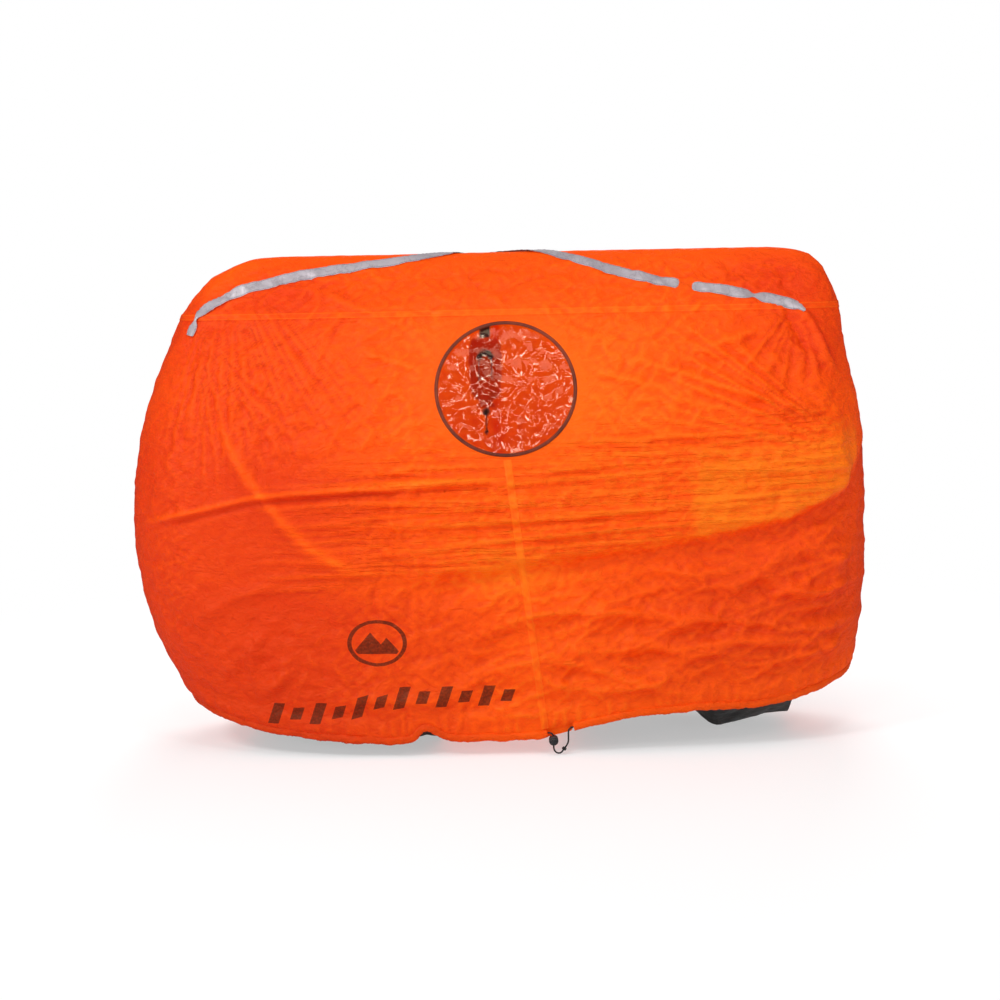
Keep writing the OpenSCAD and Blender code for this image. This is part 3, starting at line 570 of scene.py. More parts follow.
def bump_stack(tree, shader, layers):
    """Bump nodes one on another, each from a height socket, a strength and a depth in metres."""
    last = None
    for height, strength, depth in layers:
        bump = add_node(tree, "ShaderNodeBump", {"Height": height}, put={"Strength": strength, "Distance": depth})
        if last is not None:
            tree.links.new(last.outputs[0], bump.inputs["Normal"])
        last = bump
    tree.links.new(last.outputs[0], shader.inputs["Normal"])


def ramp(tree, source, stops):
    """Colours along a value, from places and colours."""
    node = add_node(tree, "ShaderNodeValToRGB", {"Fac": source})
    while len(node.color_ramp.elements) < len(stops):
        node.color_ramp.elements.new(0.5)
    for element, (place, colour) in zip(node.color_ramp.elements, stops):
        element.position = place
        element.color = (*colour, 1)
    return node.outputs[0]


RING_PLACE, RING_SIZE = (-0.226, 0.214), (0.054, 0.043)
BLOCKS_FROM, BLOCK_PITCH, BLOCK_COUNT = -0.425, 0.0385, 12
INK = (0.115, 0.020, 0.008)
# The first number is a faint painted glow: the cloth emits its own colour in place of light that comes through it.
PAINTED_GLOW, SOAK, NYLON_SHINE = 0.05, 0.32, (1.0, 0.62, 0.40, 1.0)


def printed_group():
    """A plain printed mark on the left wall: two peaks in a ring, over a row of slanting blocks."""
    tree, gin, gout = add_group("printed_mark", [("Vector", "NodeSocketVector", None)],
                                [("Ink", "NodeSocketFloat")])
    parts = add_node(tree, "ShaderNodeSeparateXYZ", {0: gin.outputs["Vector"]})
    x, y, z = parts.outputs
    across = calc(tree, "SUBTRACT", x, RING_PLACE[0])
    up = calc(tree, "SUBTRACT", z, RING_PLACE[1])
    squares = [calc(tree, "POWER", calc(tree, "ABSOLUTE", calc(tree, "DIVIDE", way, size)), 2)
               for way, size in zip((across, up), RING_SIZE)]
    reach = calc(tree, "SQRT", calc(tree, "ADD", *squares))
    ring = calc(tree, "LESS_THAN", calc(tree, "ABSOLUTE", calc(tree, "SUBTRACT", reach, 0.93)), 0.07)
    peaks = []
    for middle, top in ((-0.012, 0.020), (0.017, 0.010)):
        away = calc(tree, "ABSOLUTE", calc(tree, "SUBTRACT", across, middle))
        peaks.append(calc(tree, "SUBTRACT", top, calc(tree, "MULTIPLY", away, 1.15)))
    below = calc(tree, "LESS_THAN", up, calc(tree, "MAXIMUM", *peaks))
    above = calc(tree, "GREATER_THAN", up, -0.020)
    hill = calc(tree, "MULTIPLY", calc(tree, "MULTIPLY", below, above), calc(tree, "LESS_THAN", reach, 0.80))
    bend = remap(tree, x, span=(-0.33, -0.17), to=(0.083, 0.113), interpolation_type="SMOOTHSTEP")
    off = calc(tree, "SUBTRACT", z, bend)
    slant = calc(tree, "SUBTRACT", x, calc(tree, "MULTIPLY", off, 0.35))
    run = calc(tree, "DIVIDE", calc(tree, "SUBTRACT", slant, BLOCKS_FROM), BLOCK_PITCH)
    block = calc(tree, "LESS_THAN", calc(tree, "FRACT", run), 0.52)
    every_other = calc(tree, "LESS_THAN", calc(tree, "FRACT", calc(tree, "DIVIDE", run, 2.0)), 0.5)
    tall = calc(tree, "MULTIPLY_ADD", every_other, 0.008, 0.011)
    row = calc(tree, "LESS_THAN", calc(tree, "ABSOLUTE", off), tall)
    span = calc(tree, "MULTIPLY", calc(tree, "GREATER_THAN", run, 0.0),
                calc(tree, "LESS_THAN", run, float(BLOCK_COUNT)))
    blocks = calc(tree, "MULTIPLY", calc(tree, "MULTIPLY", block, row), span)
    both = calc(tree, "MAXIMUM", calc(tree, "MAXIMUM", ring, hill), blocks)
    front = calc(tree, "LESS_THAN", y, 0.0)
    worn = noise(tree, gin.outputs["Vector"], Scale=260.0, Detail=3.0)
    share = remap(tree, worn, span=(0.3, 0.6), to=(0.72, 0.92))
    tree.links.new(calc(tree, "MULTIPLY", calc(tree, "MULTIPLY", both, front), share), gout.inputs["Ink"])
    return tree


def soak_through(tree, shader, colour):
    """Lets part of the light go through thin cloth."""
    through = add_node(tree, "ShaderNodeBsdfTranslucent", {"Color": colour})
    tree.links.new(shader.inputs["Normal"].links[0].from_socket, through.inputs["Normal"])
    both = add_node(tree, "ShaderNodeMixShader", {1: shader.outputs[0], 2: through.outputs[0]}, put={0: SOAK})
    tree.links.new(both.outputs[0], tree.nodes["Material Output"].inputs["Surface"])


def nylon_material(name, deep, main, light, crinkle=1.0, printed=False):
    """Thin coated nylon: light soaks through it. Its colour holds painted light and shade: deeper where the cloth
    is slack or doubled, lighter on crinkle crests, darker along fine level creases, with a faint painted glow.
    """
    mat, tree, shader = new_material(name, Roughness=0.42, Specular_IOR_Level=0.28, Specular_Tint=NYLON_SHINE,
                                     Emission_Strength=PAINTED_GLOW)
    place = object_place(tree)
    tone_and_painted_light = attribute(tree, "tone_and_painted_light")
    small = use_group(tree, CRINKLE, Vector=place, Size=55.0, Stretch=1.3)
    wide = use_group(tree, CRINKLE, Vector=place, Size=21.0, Stretch=1.7)
    weave = use_group(tree, WEAVE, Vector=place, Yarns=2600.0)
    pull = attribute(tree, "pull")
    drawn = use_group(tree, CRINKLE, Vector=place, Size=5.5, Stretch=16.0)
    taut = calc(tree, "MULTIPLY", drawn.outputs["Height"], pull)
    mottle = calc(tree, "MULTIPLY_ADD", small.outputs["Dust"], 0.16, -0.08)
    shade = calc(tree, "ADD", tone_and_painted_light, mottle)
    # Painted highlight on the crinkles' crests, then painted shade along the fine level creases.
    with_crest_highlight = calc(tree, "MULTIPLY_ADD", small.outputs["Height"], 0.045 * crinkle, shade)
    with_crease_shade = calc(tree, "MULTIPLY_ADD", taut, -0.10, with_crest_highlight)
    colour = ramp(tree, with_crease_shade, [(0.0, deep), (0.5, main), (1.0, light)])
    shown = colour
    if printed:
        mark = use_group(tree, printed_group(), Vector=place)
        inked = add_node(tree, "ShaderNodeMix", {0: mark.outputs["Ink"], 6: shown}, data_type="RGBA")
        inked.inputs[7].default_value = (*INK, 1)
        shown = inked.outputs[2]
    tree.links.new(shown, shader.inputs["Base Color"])
    # Painted glow: the cloth's colour is also emitted, faintly.
    tree.links.new(shown, shader.inputs["Emission Color"])
    worn = remap(tree, weave.outputs["Shade"], to=(0.36, 0.52))
    tree.links.new(worn, shader.inputs["Roughness"])
    bump_stack(tree, shader, [(weave.outputs["Height"], 0.10, 0.0002),
                              (small.outputs["Height"], 0.50 * crinkle, 0.0014),
                              (wide.outputs["Height"], 0.50 * crinkle, 0.0026), (taut, 0.8, 0.0024)])
    soak_through(tree, shader, shown)
    return mat


nylon = nylon_material("orange_nylon", NYLON_DEEP, NYLON, NYLON_LIGHT)
printed_nylon = nylon_material("orange_nylon_printed", NYLON_DEEP, NYLON, NYLON_LIGHT, printed=True)


# Softly bounded patches of painted light and shade: the change, then the middle and spread in x and in z
PAINTED_LIGHT_PATCHES = ((-0.22, -0.56, 0.10, 0.80, 0.08), (0.18, 0.20, 0.30, 0.50, 0.16), (0.10, 0.11, 0.12, 0.69, 0.08),
                (0.26, 0.01, 0.085, 0.345, 0.045), (-0.34, -0.395, 0.075, 0.855, 0.055),
                (-0.50, 0.54, 0.135, 0.870, 0.070), (-0.36, 0.59, 0.11, 0.74, 0.08))


def tone_and_painted_light_at(p):
    """How light the cloth looks, 0 to 1, as painted light and shade: shade where it hangs double or slack and in
    hollows, light where it is taut and on crests, with a little random tone.
    """
    x, y, z = p[..., 0], p[..., 1], p[..., 2]
    front = ease((0.030 - y) / 0.11)
    gap, above, _ = from_line(x, z, TAUT_EDGE)
    rise = above * gap
    tone_and_painted_light = 0.50 + 0 * x
    tone_and_painted_light = tone_and_painted_light - front * 0.30 * ease((0.004 - rise) / 0.010) * ease((x - 0.06) / 0.34) * ease((z + 0.02) / 0.30)
    elbow = ease((x - 0.335) / 0.03) * ease((0.664 - np.clip(0.6 * (z - 0.575), 0, 1) - x) / 0.010)
    elbow = elbow * ease((rise - 0.002) / 0.010) * ease((0.600 + 0.15 * (x - 0.5) - z) / 0.09)
    tone_and_painted_light = tone_and_painted_light + front * 0.38 * elbow
    tone_and_painted_light = tone_and_painted_light - front * 0.06 * ease((x - 0.655) / 0.02) * ease((0.66 - z) / 0.1)
    gap, above, along = from_line(x, z, SHIN_RIDGE)
    tone_and_painted_light = tone_and_painted_light + front * 0.30 * bell(gap / 0.009) * ease(along / 0.2) * ease((1 - along) / 0.3)
    gap, above, along = from_line(x, z, LONG_CREASE)
    crest = 0.28 * bell((above * gap - 0.004) / 0.005) - 0.12 * bell((above * gap + 0.007) / 0.006)
    tone_and_painted_light = tone_and_painted_light + front * crest * ease(along / 0.1) * ease((1 - along) / 0.3)
    tone_and_painted_light = tone_and_painted_light - front * 0.17 * ease((-0.30 - x + 0.25 * (z - 0.4)) / 0.16) * ease((0.68 - z) / 0.16)
    tone_and_painted_light = tone_and_painted_light - front * 0.27 * ease((-0.12 - x) / 0.26) * ease((0.89 - z) / 0.12)
    tone_and_painted_light = tone_and_painted_light - front * 0.26 * ease((0.06 - x) / 0.20) * ease((0.33 - z) / 0.06) * ease((x + 0.62) / 0.1)
    tone_and_painted_light = tone_and_painted_light - front * 0.15 * bell((x + 0.05) / 0.35) * ease((z - 0.74) / 0.12)
    for change, middle, wide, height, tall in PAINTED_LIGHT_PATCHES:
        tone_and_painted_light = tone_and_painted_light + front * change * bell((x - middle) / wide) * bell((z - height) / tall)
    tone_and_painted_light = tone_and_painted_light - (1 - front) * 0.12 * bell((z - 0.45) / 0.25)
    return np.clip(tone_and_painted_light + 0.05 * grain(p * [5, 5, 7], 91) + np.clip(100 * fold_shade(p), -0.20, 0.13), 0.02, 1)


def fold_shade(p, reach=0.007):
    """How far the cloth stands out from what is round it: crests catch light, hollows lose it."""
    def height(q):
        return folds_at(q, np.clip(q[..., 0] / half_length(q[..., 0], q[..., 2]), -1, 1))
    steps = ((reach, 0, 0), (-reach, 0, 0), (0, 0, reach), (0, 0, -reach))
    return height(p) - sum(height(p + np.array(step)) for step in steps) / 4


def pull_at(p):
    """Where fine level creases run across the cloth, 0 to 1: tight between two people's arms."""
    x, y, z = p[..., 0], p[..., 1], p[..., 2]
    gap, above, _ = from_line(x, z, TAUT_EDGE)
    front = ease((0.030 - y) / 0.11)
    tight = front * ease((above * gap + 0.01) / 0.03) * ease((0.62 + 0.10 * x - z) / 0.10) * ease((x + 0.45) / 0.2)
    return np.maximum(tight * ease((0.67 - x) / 0.1), 0.45 * (1 - front) * bell((z - 0.5) / 0.12))


def finish_cloth(obj, mat, node, body="shelter", tone_and_painted_light=True):
    """Dresses a cloth piece, with its own tone and painted light and its pull at each point where it follows the
    canopy.
    """
    if tone_and_painted_light:
        co = np.zeros(len(obj.data.vertices) * 3)
        obj.data.vertices.foreach_get("co", co)
        for label, shares in (("tone_and_painted_light", tone_and_painted_light_at), ("pull", pull_at)):
            set_floats(obj, label, shares(co.reshape(-1, 3)))
    dress(obj, mat, body, node)


for wall, node, cloth in ((wall_left, "wall_left", printed_nylon), (wall_right, "wall_right", nylon)):
    finish_cloth(wall, cloth, node)

# ---- Roof panel ----
# One panel of the same nylon closes the top. It is sewn to the walls all round and falls in a
# low arch from the ridge.


def roof_cloth():
    """The roof from its seam up to the ridge."""
    turns = even_turns(0, 360, CLOTH_STEP)[:-1]
    count, rows = len(turns), int(0.19 / CLOTH_STEP)
    side = np.where(np.sin(turns) < 0, -1.0, 1.0)
    plan = plan_c(turns)
    verts = [skin(crowd(plan, girth_z(g), side), g, side) for g in 1.0 - np.arange(rows) / rows]
    faces = grid_faces(rows, count, closed=True)
    # The last row folds onto the ridge line, front to rear.
    last, spine_c = (rows - 1) * count, plan[side > 0]
    nearest = (rows * count + np.argmin(np.abs(plan[:, None] - spine_c), 1)).tolist()
    for k in range(count):
        n = (k + 1) % count
        quad = [last + k, nearest[k], nearest[n], last + n]
        quad = [v for i, v in enumerate(quad) if v not in quad[:i]]
        if len(quad) > 2:
            faces.append(tuple(quad))
    return new_mesh("roof_cloth", np.concatenate([*verts, skin(spine_c, 0.0, 1.0)]), faces)


roof = roof_cloth()
finish_cloth(roof, nylon, "roof_panel")

# ---- Sewn seams ----
# The walls are joined down the front and the rear, and to the roof all round, by flat seams
# with a strip of the same nylon over them, held by two rows of thread that pucker the cloth.
SEAM_WIDTH, SEAM_LIGHTER = 0.014, 0.16


def on_canopy(path):
    """Points, outward ways and true cloth normals for [c, signed g] points."""
    path = np.asarray(path, float)
    c, g, side = path[:, 0], np.abs(path[:, 1]), np.where(path[:, 1] < 0, -1.0, 1.0)
    p, out = smooth_canopy(c, g, side)
    step = 0.002
    dc = smooth_canopy(c + step, g, side)[0] - smooth_canopy(c - step, g, side)[0]
    dg = smooth_canopy(c, g + step, side)[0] - smooth_canopy(c, np.maximum(g - step, 0), side)[0]
    normal = np.cross(dc, dg)
    normal *= np.sign((normal * out).sum(1))[:, None]
    normal /= np.maximum(np.linalg.norm(normal, axis=1), 1e-12)[:, None]
    return p, out, normal, c


def curve(a, b, c, d, t):
    """Points of a smooth curve from b to c, between their neighbours a and d."""
    return 0.5 * (2 * b + (c - a) * t + (2 * a - 5 * b + 4 * c - d) * t * t + (3 * b - a - 3 * c + d) * t ** 3)


def even_path(path, step):
    """The same path with its points at even steps along the canopy."""
    path = np.asarray(path, float)
    fine = np.linspace(0, len(path) - 1, 60 * len(path))
    low = np.clip(fine.astype(int), 0, len(path) - 2)
    t = fine - low
    a, b = path[np.clip(low - 1, 0, None)], path[low]
    c, d = path[low + 1], path[np.clip(low + 2, None, len(path) - 1)]
    dense = curve(a, b, c, d, t[:, None])
    p = on_canopy(dense)[0]
    length = run_marks(p)
    marks = np.linspace(0, length[-1], int(length[-1] / step) + 1)
    return np.stack([np.interp(marks, length, dense[:, k]) for k in (0, 1)], 1), marks


def sewn_strip(name, path, width, lift, marks, wide=None, sink=None, closed=False, across=7):
    """A strip that lies on the wrinkled cloth, with along and across kept for its material."""
    p, out, normal, c = on_canopy(path)
    run = unit(np.roll(p, -1, 0) - np.roll(p, 1, 0) if closed else np.gradient(p, axis=0))
    aside = np.cross(normal, run)
    wide = np.ones(len(p)) if wide is None else wide
    sink = np.zeros(len(p)) if sink is None else sink
    offsets = np.linspace(-0.5, 0.5, across)
    rows = []
    for s in offsets:
        q = p + aside * (s * width * wide)[:, None]
        crown = lift * (1 - 0.55 * abs(2 * s) ** 4)
        pucker = 0.00035 * np.sin(marks * 620 + 3 * np.sin(marks * 90)) * (abs(s) > 0.2)
        rows.append(q + out * (folds_at(q, c) + crown + pucker + sink)[:, None])
    n, faces = len(p), []
    for i in range(n if closed else n - 1):
        for k in range(across - 1):
            j = (i + 1) % n
            faces.append((i * across + k, i * across + k + 1, j * across + k + 1, j * across + k))
    obj = new_mesh(name, np.stack(rows, 1), faces)
    for label, values in (("along", np.repeat(marks, across)), ("across", np.tile(offsets, n))):
        set_floats(obj, label, values)
    return obj


def stitch_group():
    """Two rows of stitches along a strip: Thread is the mask and Dent is the shallow dent that they sit in."""
    numbers = (("Along", 0.0), ("Across", 0.0), ("Row", 0.34), ("Pitch", 330.0))
    tree, gin, gout = add_group("stitch_rows", [(label, "NodeSocketFloat", value) for label, value in numbers],
                                [("Thread", "NodeSocketFloat"), ("Dent", "NodeSocketFloat")])
    side = calc(tree, "ABSOLUTE", gin.outputs["Across"])
    off = calc(tree, "SUBTRACT", side, gin.outputs["Row"])
    near = calc(tree, "ABSOLUTE", off)
    row = remap(tree, near, span=(0.02, 0.045), to=(1.0, 0.0))
    dent = remap(tree, near, span=(0.02, 0.10), to=(1.0, 0.0))
    count = calc(tree, "MULTIPLY", gin.outputs["Along"], gin.outputs["Pitch"])
    part = calc(tree, "FRACT", count)
    gap = calc(tree, "LESS_THAN", part, 0.78)
    thread = calc(tree, "MULTIPLY", row, gap)
    tree.links.new(thread, gout.inputs["Thread"])
    tree.links.new(dent, gout.inputs["Dent"])
    return tree


STITCH = stitch_group()


def sewn_material(name, deep, light, thread, row=0.34, pitch=330.0, yarns=2600.0, **values):
    """A sewn tape: its own cloth, with two rows of thread in a shallow dent."""
    mat, tree, shader = new_material(name, **values)
    place = object_place(tree)
    along = attribute(tree, "along")
    across = attribute(tree, "across")
    rows = use_group(tree, STITCH, Along=along, Across=across, Row=row, Pitch=pitch)
    weave = use_group(tree, WEAVE, Vector=place, Yarns=yarns)
    small = use_group(tree, CRINKLE, Vector=place, Size=90.0, Stretch=1.0)
    tint = ramp(tree, small.outputs["Dust"], [(0.30, deep), (0.62, light)])
    sewn = add_node(tree, "ShaderNodeMix", data_type="RGBA")
    tree.links.new(rows.outputs["Thread"], sewn.inputs[0])
    tree.links.new(tint, sewn.inputs[6])
    sewn.inputs[7].default_value = (*thread, 1)
    tree.links.new(sewn.outputs[2], shader.inputs["Base Color"])
    dent = calc(tree, "SUBTRACT", rows.outputs["Dent"], rows.outputs["Thread"])
    down = calc(tree, "MULTIPLY", dent, -1.0)
    bump_stack(tree, shader, [(weave.outputs["Height"], 0.15, 0.0002), (down, 0.5, 0.0008),
                              (small.outputs["Height"], 0.25, 0.0010)])
    return mat, tree, shader, sewn


# The seam strips carry the cloth's painted light and shade, a little lighter, and the same faint painted glow.
seam_mat, tree, shader, sewn = sewn_material(
    "seam_nylon", NYLON, NYLON, (1.0, 0.17, 0.010), Roughness=0.45, Specular_IOR_Level=0.28,
    Specular_Tint=NYLON_SHINE, Emission_Strength=PAINTED_GLOW)
tone_and_painted_light = attribute(tree, "tone_and_painted_light")
seam_tone_and_painted_light = calc(tree, "ADD", tone_and_painted_light, SEAM_LIGHTER)
tint = ramp(tree, seam_tone_and_painted_light, [(0.0, NYLON_DEEP), (0.5, NYLON), (1.0, NYLON_LIGHT)])
tree.links.new(tint, sewn.inputs[6])
tree.links.new(sewn.outputs[2], shader.inputs["Emission Color"])
soak_through(tree, shader, sewn.outputs[2])


def seam_path(side, high_z, low_z, count=40):
    """The line of the front or the rear seam."""
    z = np.linspace(high_z, low_z, count)
    c = seam_x(z) / half_length(1, z) if side < 0 else 0 * z
    return np.stack([c, side * z_girth(z)], 1)


STRIP_STEP, SEAM_LIFT, SEAM_FOOT = 0.004, 0.0014, 0.04
seam_foot_c = float(seam_x(SEAM_FOOT) / half_length(1, SEAM_FOOT))
window_foot = WINDOW_Z - WINDOW_RADIUS * WINDOW_LEAN - 0.009
for name, node, side, high_z in (("front_seam_strip", "front_seam_tape", -1, window_foot),
                                 ("rear_seam_strip", "rear_seam_tape", 1, ROOF_SEAM_Z - 0.011)):
    foot_c = seam_foot_c if side < 0 else 0.0
    low_z = float(hem_z(np.array(foot_c))) + TUNNEL_HEIGHT + 0.002
    path, marks = even_path(seam_path(side, high_z, low_z), STRIP_STEP)
    strip = sewn_strip(name, path, SEAM_WIDTH, SEAM_LIFT, marks)
    finish_cloth(strip, seam_mat, node)

turns = even_turns(0, 360, STRIP_STEP)[:-1]
side = np.where(np.sin(turns) < 0, -1.0, 1.0)
band_c = crowd(plan_c(turns), ROOF_SEAM_Z, side)
marks = np.arange(len(turns)) * STRIP_STEP
roof_seam = sewn_strip("roof_seam_strip", np.stack([band_c, side * 1.0001], 1), SEAM_WIDTH, SEAM_LIFT, marks,
                       closed=True)
finish_cloth(roof_seam, seam_mat, "roof_seam_tape")

# ---- Window ----
# A round of thin clear vinyl is sewn behind a round hole, under a narrow dark binding. It has
# been folded away small, so it is crinkled all over and glints.


PANE_OVERLAP, FACET, FACET_HEIGHT = 0.0055, 0.0125, 0.0040
BINDING_OUT, BINDING_IN, BINDING_ROWS, BINDING_COUNT = 0.0040, 0.0026, 7, 280


def window_place(r, a, lift):
    """Points on the cloth at a reach and turn round the window's centre."""
    x, z = WINDOW_X + r * np.cos(a), WINDOW_Z + r * np.sin(a) * WINDOW_LEAN
    c, g = x / half_length(x, z), z_girth(z)
    p, out = smooth_canopy(c, g, np.full(np.shape(x), -1.0))
    return p + (folds_at(p, c) + lift)[..., None] * out


def crumpled_round(radius, facet, height, parts, seed):
    """A round of flat facets, as in sheet that was folded small: places, heights and faces."""
    rng = np.random.default_rng(seed)
    count = int(radius / (facet * 0.87)) + 1
    j, i = np.meshgrid(np.arange(-count, count + 1), np.arange(-count, count + 1), indexing="ij")
    spots = np.stack([(i + 0.5 * (j % 2)) * facet, j * facet * 0.87], -1).reshape(-1, 2)
    spots = spots + rng.uniform(-0.42, 0.42, spots.shape) * facet
    spots = spots[np.hypot(spots[:, 0], spots[:, 1]) < radius - 0.6 * facet]
    rim = np.linspace(0, 2 * np.pi, 121)[:-1]
    places = np.concatenate([spots, radius * np.stack([np.cos(rim), np.sin(rim)], 1)])
    rise = rng.uniform(-1, 1, len(places)) * height
    rise = rise * ease((WINDOW_RADIUS + 0.001 - np.hypot(places[:, 0], places[:, 1])) / 0.020)
    _, _, corners, first, _, _ = delaunay_2d_cdt([Vector(p) for p in places], [], [], 0, 1e-7)
    verts, seen, faces = [], {}, []
    for corner in corners:
        three = [first[v][0] for v in corner]
        spot = {}
        for u in range(parts + 1):
            for v in range(parts + 1 - u):
                share = np.array([u, v, parts - u - v]) / parts
                point = share @ np.column_stack([places[three], rise[three]])
                key = tuple(np.round(point[:2] * 1e6).astype(int))
                if key not in seen:
                    seen[key] = len(verts)
                    verts.append(point)
                spot[u, v] = seen[key]
        for u in range(parts):
            for v in range(parts - u):
                faces.append((spot[u, v], spot[u + 1, v], spot[u, v + 1]))
                if u + v < parts - 1:
                    faces.append((spot[u + 1, v], spot[u + 1, v + 1], spot[u, v + 1]))
    return np.array(verts), faces


flat_pane, pane_faces = crumpled_round(WINDOW_RADIUS + PANE_OVERLAP, FACET, FACET_HEIGHT, parts=3, seed=5)
r, a = np.hypot(flat_pane[:, 0], flat_pane[:, 1]), np.arctan2(flat_pane[:, 1], flat_pane[:, 0])
place = np.column_stack([flat_pane[:, 0], flat_pane[:, 1], 0 * r])
sag = flat_pane[:, 2] + 0.0024 * grain(place * 16, 84) * ease((WINDOW_RADIUS - r) / 0.02)
pane_points = window_place(r, a, sag - 0.0050 - 0.002 * ease((WINDOW_RADIUS - r) / 0.03))
pane = new_mesh("window_pane_vinyl", pane_points, pane_faces)
thick = pane.modifiers.new("thickness", "SOLIDIFY")
thick.thickness, thick.offset = 0.0003, 0
vinyl, tree, shader = new_material("clear_vinyl", Roughness=0.01, IOR=1.45, Transmission_Weight=1.0,
                                   Specular_IOR_Level=0.75, Specular_Tint=(1.0, 0.84, 0.62, 1.0),
                                   Base_Color=(0.96, 1.0, 0.90, 1.0))
place = object_place(tree)
haze = use_group(tree, CRINKLE, Vector=place, Size=70.0, Stretch=1.0)
soft = remap(tree, haze.outputs["Height"], to=(0.0, 0.02))
tree.links.new(soft, shader.inputs["Roughness"])
bump_stack(tree, shader, [(haze.outputs["Height"], 0.12, 0.0008)])
dress(pane, vinyl, "shelter", "window_pane")

binding_r = np.linspace(WINDOW_RADIUS + BINDING_OUT, WINDOW_RADIUS - BINDING_IN, BINDING_ROWS)
ring_a = np.linspace(0, 2 * np.pi, BINDING_COUNT + 1)[:-1]
r, a = np.meshgrid(binding_r, ring_a, indexing="ij")
cross = np.linspace(-1, 1, BINDING_ROWS)[:, None]
crown = 0.0016 * (1 - np.abs(cross) ** 3) + 0.0004 * np.sin(a * 130) + 0.0006
binding = new_mesh("window_edge_binding", window_place(r, a, crown),
                   grid_faces(BINDING_ROWS, BINDING_COUNT, closed=True))
for label, values in (("along", a * WINDOW_RADIUS), ("across", cross / 2 + 0 * a)):
    set_floats(binding, label, values)
binding_mat = sewn_material("dark_binding", (0.050, 0.011, 0.006), (0.26, 0.038, 0.010), (0.03, 0.008, 0.006),
                            row=0.2, pitch=300.0, Roughness=0.6, Specular_IOR_Level=0.3)[0]
finish_cloth(binding, binding_mat, "window_binding", tone_and_painted_light=False)

# ---- Reflective tapes ----
# Two light grey tapes with a beaded reflective face run slantwise over the roof and cross just
# behind the ridge. Their front ends have come loose and turned over a little.
TAPE_WIDTH = 0.0235
LEFT_TAPE = [(-0.935, -1.04), (-0.92, -0.87), (-0.86, -0.69), (-0.73, -0.52), (-0.54, -0.37), (-0.36, -0.24),
             (-0.2, -0.06), (-0.06, 0.26), (0.3, 0.6), (0.7, 0.86), (0.92, 1.03)]
RIGHT_TAPE = [(0.88, -1.01), (0.79, -0.91), (0.68, -0.81), (0.56, -0.72), (0.44, -0.61), (0.33, -0.46),
              (0.22, -0.22), (0.12, 0.02), (-0.06, 0.26), (-0.36, 0.6), (-0.72, 0.86), (-0.93, 1.03)]
tape_mat, tree, shader, sewn = sewn_material(
    "beaded_tape", (0.33, 0.285, 0.315), (0.48, 0.435, 0.465), (0.25, 0.21, 0.23), row=0.42, pitch=300.0,
    yarns=5200.0, Roughness=0.38, Metallic=0.25, Specular_IOR_Level=0.5)
place = object_place(tree)
worn = use_group(tree, CRINKLE, Vector=place, Size=38.0, Stretch=0.8)
cracks = remap(tree, worn.outputs["Height"], span=(0.82, 1.0), to=(0.0, 0.45))
dark = add_node(tree, "ShaderNodeMix", {0: cracks, 6: sewn.outputs[2]}, data_type="RGBA")
dark.inputs[7].default_value = (0.20, 0.165, 0.185, 1)
tree.links.new(dark.outputs[2], shader.inputs["Base Color"])

for name, node, points, lift in (("reflective_tape_left_strip", "reflective_tape_left", LEFT_TAPE, 0.0024),
                                 ("reflective_tape_right_strip", "reflective_tape_right", RIGHT_TAPE, 0.0026)):
    path, marks = even_path(points, STRIP_STEP)
    p = on_canopy(path)[0]
    over = bell((p[:, 0] + 0.03) / 0.09) * (node == "reflective_tape_right") * 0.0022 * (p[:, 1] > -0.01)
    if node == "reflective_tape_left":
        # Narrow neck and flared end where the tape has turned over
        wide = 1 - 0.78 * bell((marks - 0.034) / 0.012) - 0.25 * bell((marks - 0.0) / 0.01)
        sink = 0.003 * bell((marks - 0.034) / 0.014)
    else:
        front = p[:, 1] < 0
        wide = 1 - 0.62 * bell((p[:, 0] - 0.478) / 0.010) * front - 0.55 * bell((p[:, 0] - 0.352) / 0.012) * front
        wide = wide * (1 - 0.5 * bell(marks / 0.012))
        sink = -0.0085 * bell((p[:, 0] - 0.352) / 0.011) * front
    strip = sewn_strip(name, path, TAPE_WIDTH, lift, marks, wide=wide, sink=sink + over)
    finish_cloth(strip, tape_mat, node, tone_and_painted_light=False)

# ---- Hem ----
# The bottom edge of the walls is turned up into a tunnel for the drawcord. Drawing the cord up
# gathers it into small tight ruffles and a few heavier bunches.
TUNNEL_THICKNESS, CLOTH = 0.0074, 0.0012
MOUTH_LEFT, MOUTH_RIGHT = 0.079, 0.123


def hem_line(step):
    """The tunnel's middle line from the right mouth round the back to the left mouth."""
    base = HEM_HEIGHT + TUNNEL_HEIGHT
    start = float(MOUTH_RIGHT / half_length(1, base))
    stop = float(MOUTH_LEFT / half_length(1, base))
    turns = even_turns(-82, 262, step)
    side = np.where(np.sin(turns) < 0, -1.0, 1.0)
    c = crowd(plan_c(turns), base, side)
    keep = ~((side < 0) & (c > stop) & (c < start))
    c, side = np.concatenate([[start], c[keep]]), np.concatenate([[-1.0], side[keep]])
    ends = np.linspace(c[-1], stop, max(2, int((stop - c[-1]) * 0.66 / step)))[1:]
    c, side = np.concatenate([c, ends]), np.concatenate([side, -np.ones(len(ends))])
    p, out = smooth_canopy(c, z_girth(hem_z(c) + TUNNEL_HEIGHT / 2), side)
    return p - CLOTH / 2 * out, out, side


def across_ways(path, guides):
    """Two ways square to a path at each point, the first nearest to the guide."""
    run = unit(np.gradient(path, axis=0))
    u = unit(guides - (guides * run).sum(1)[:, None] * run)
    return u, np.cross(run, u)


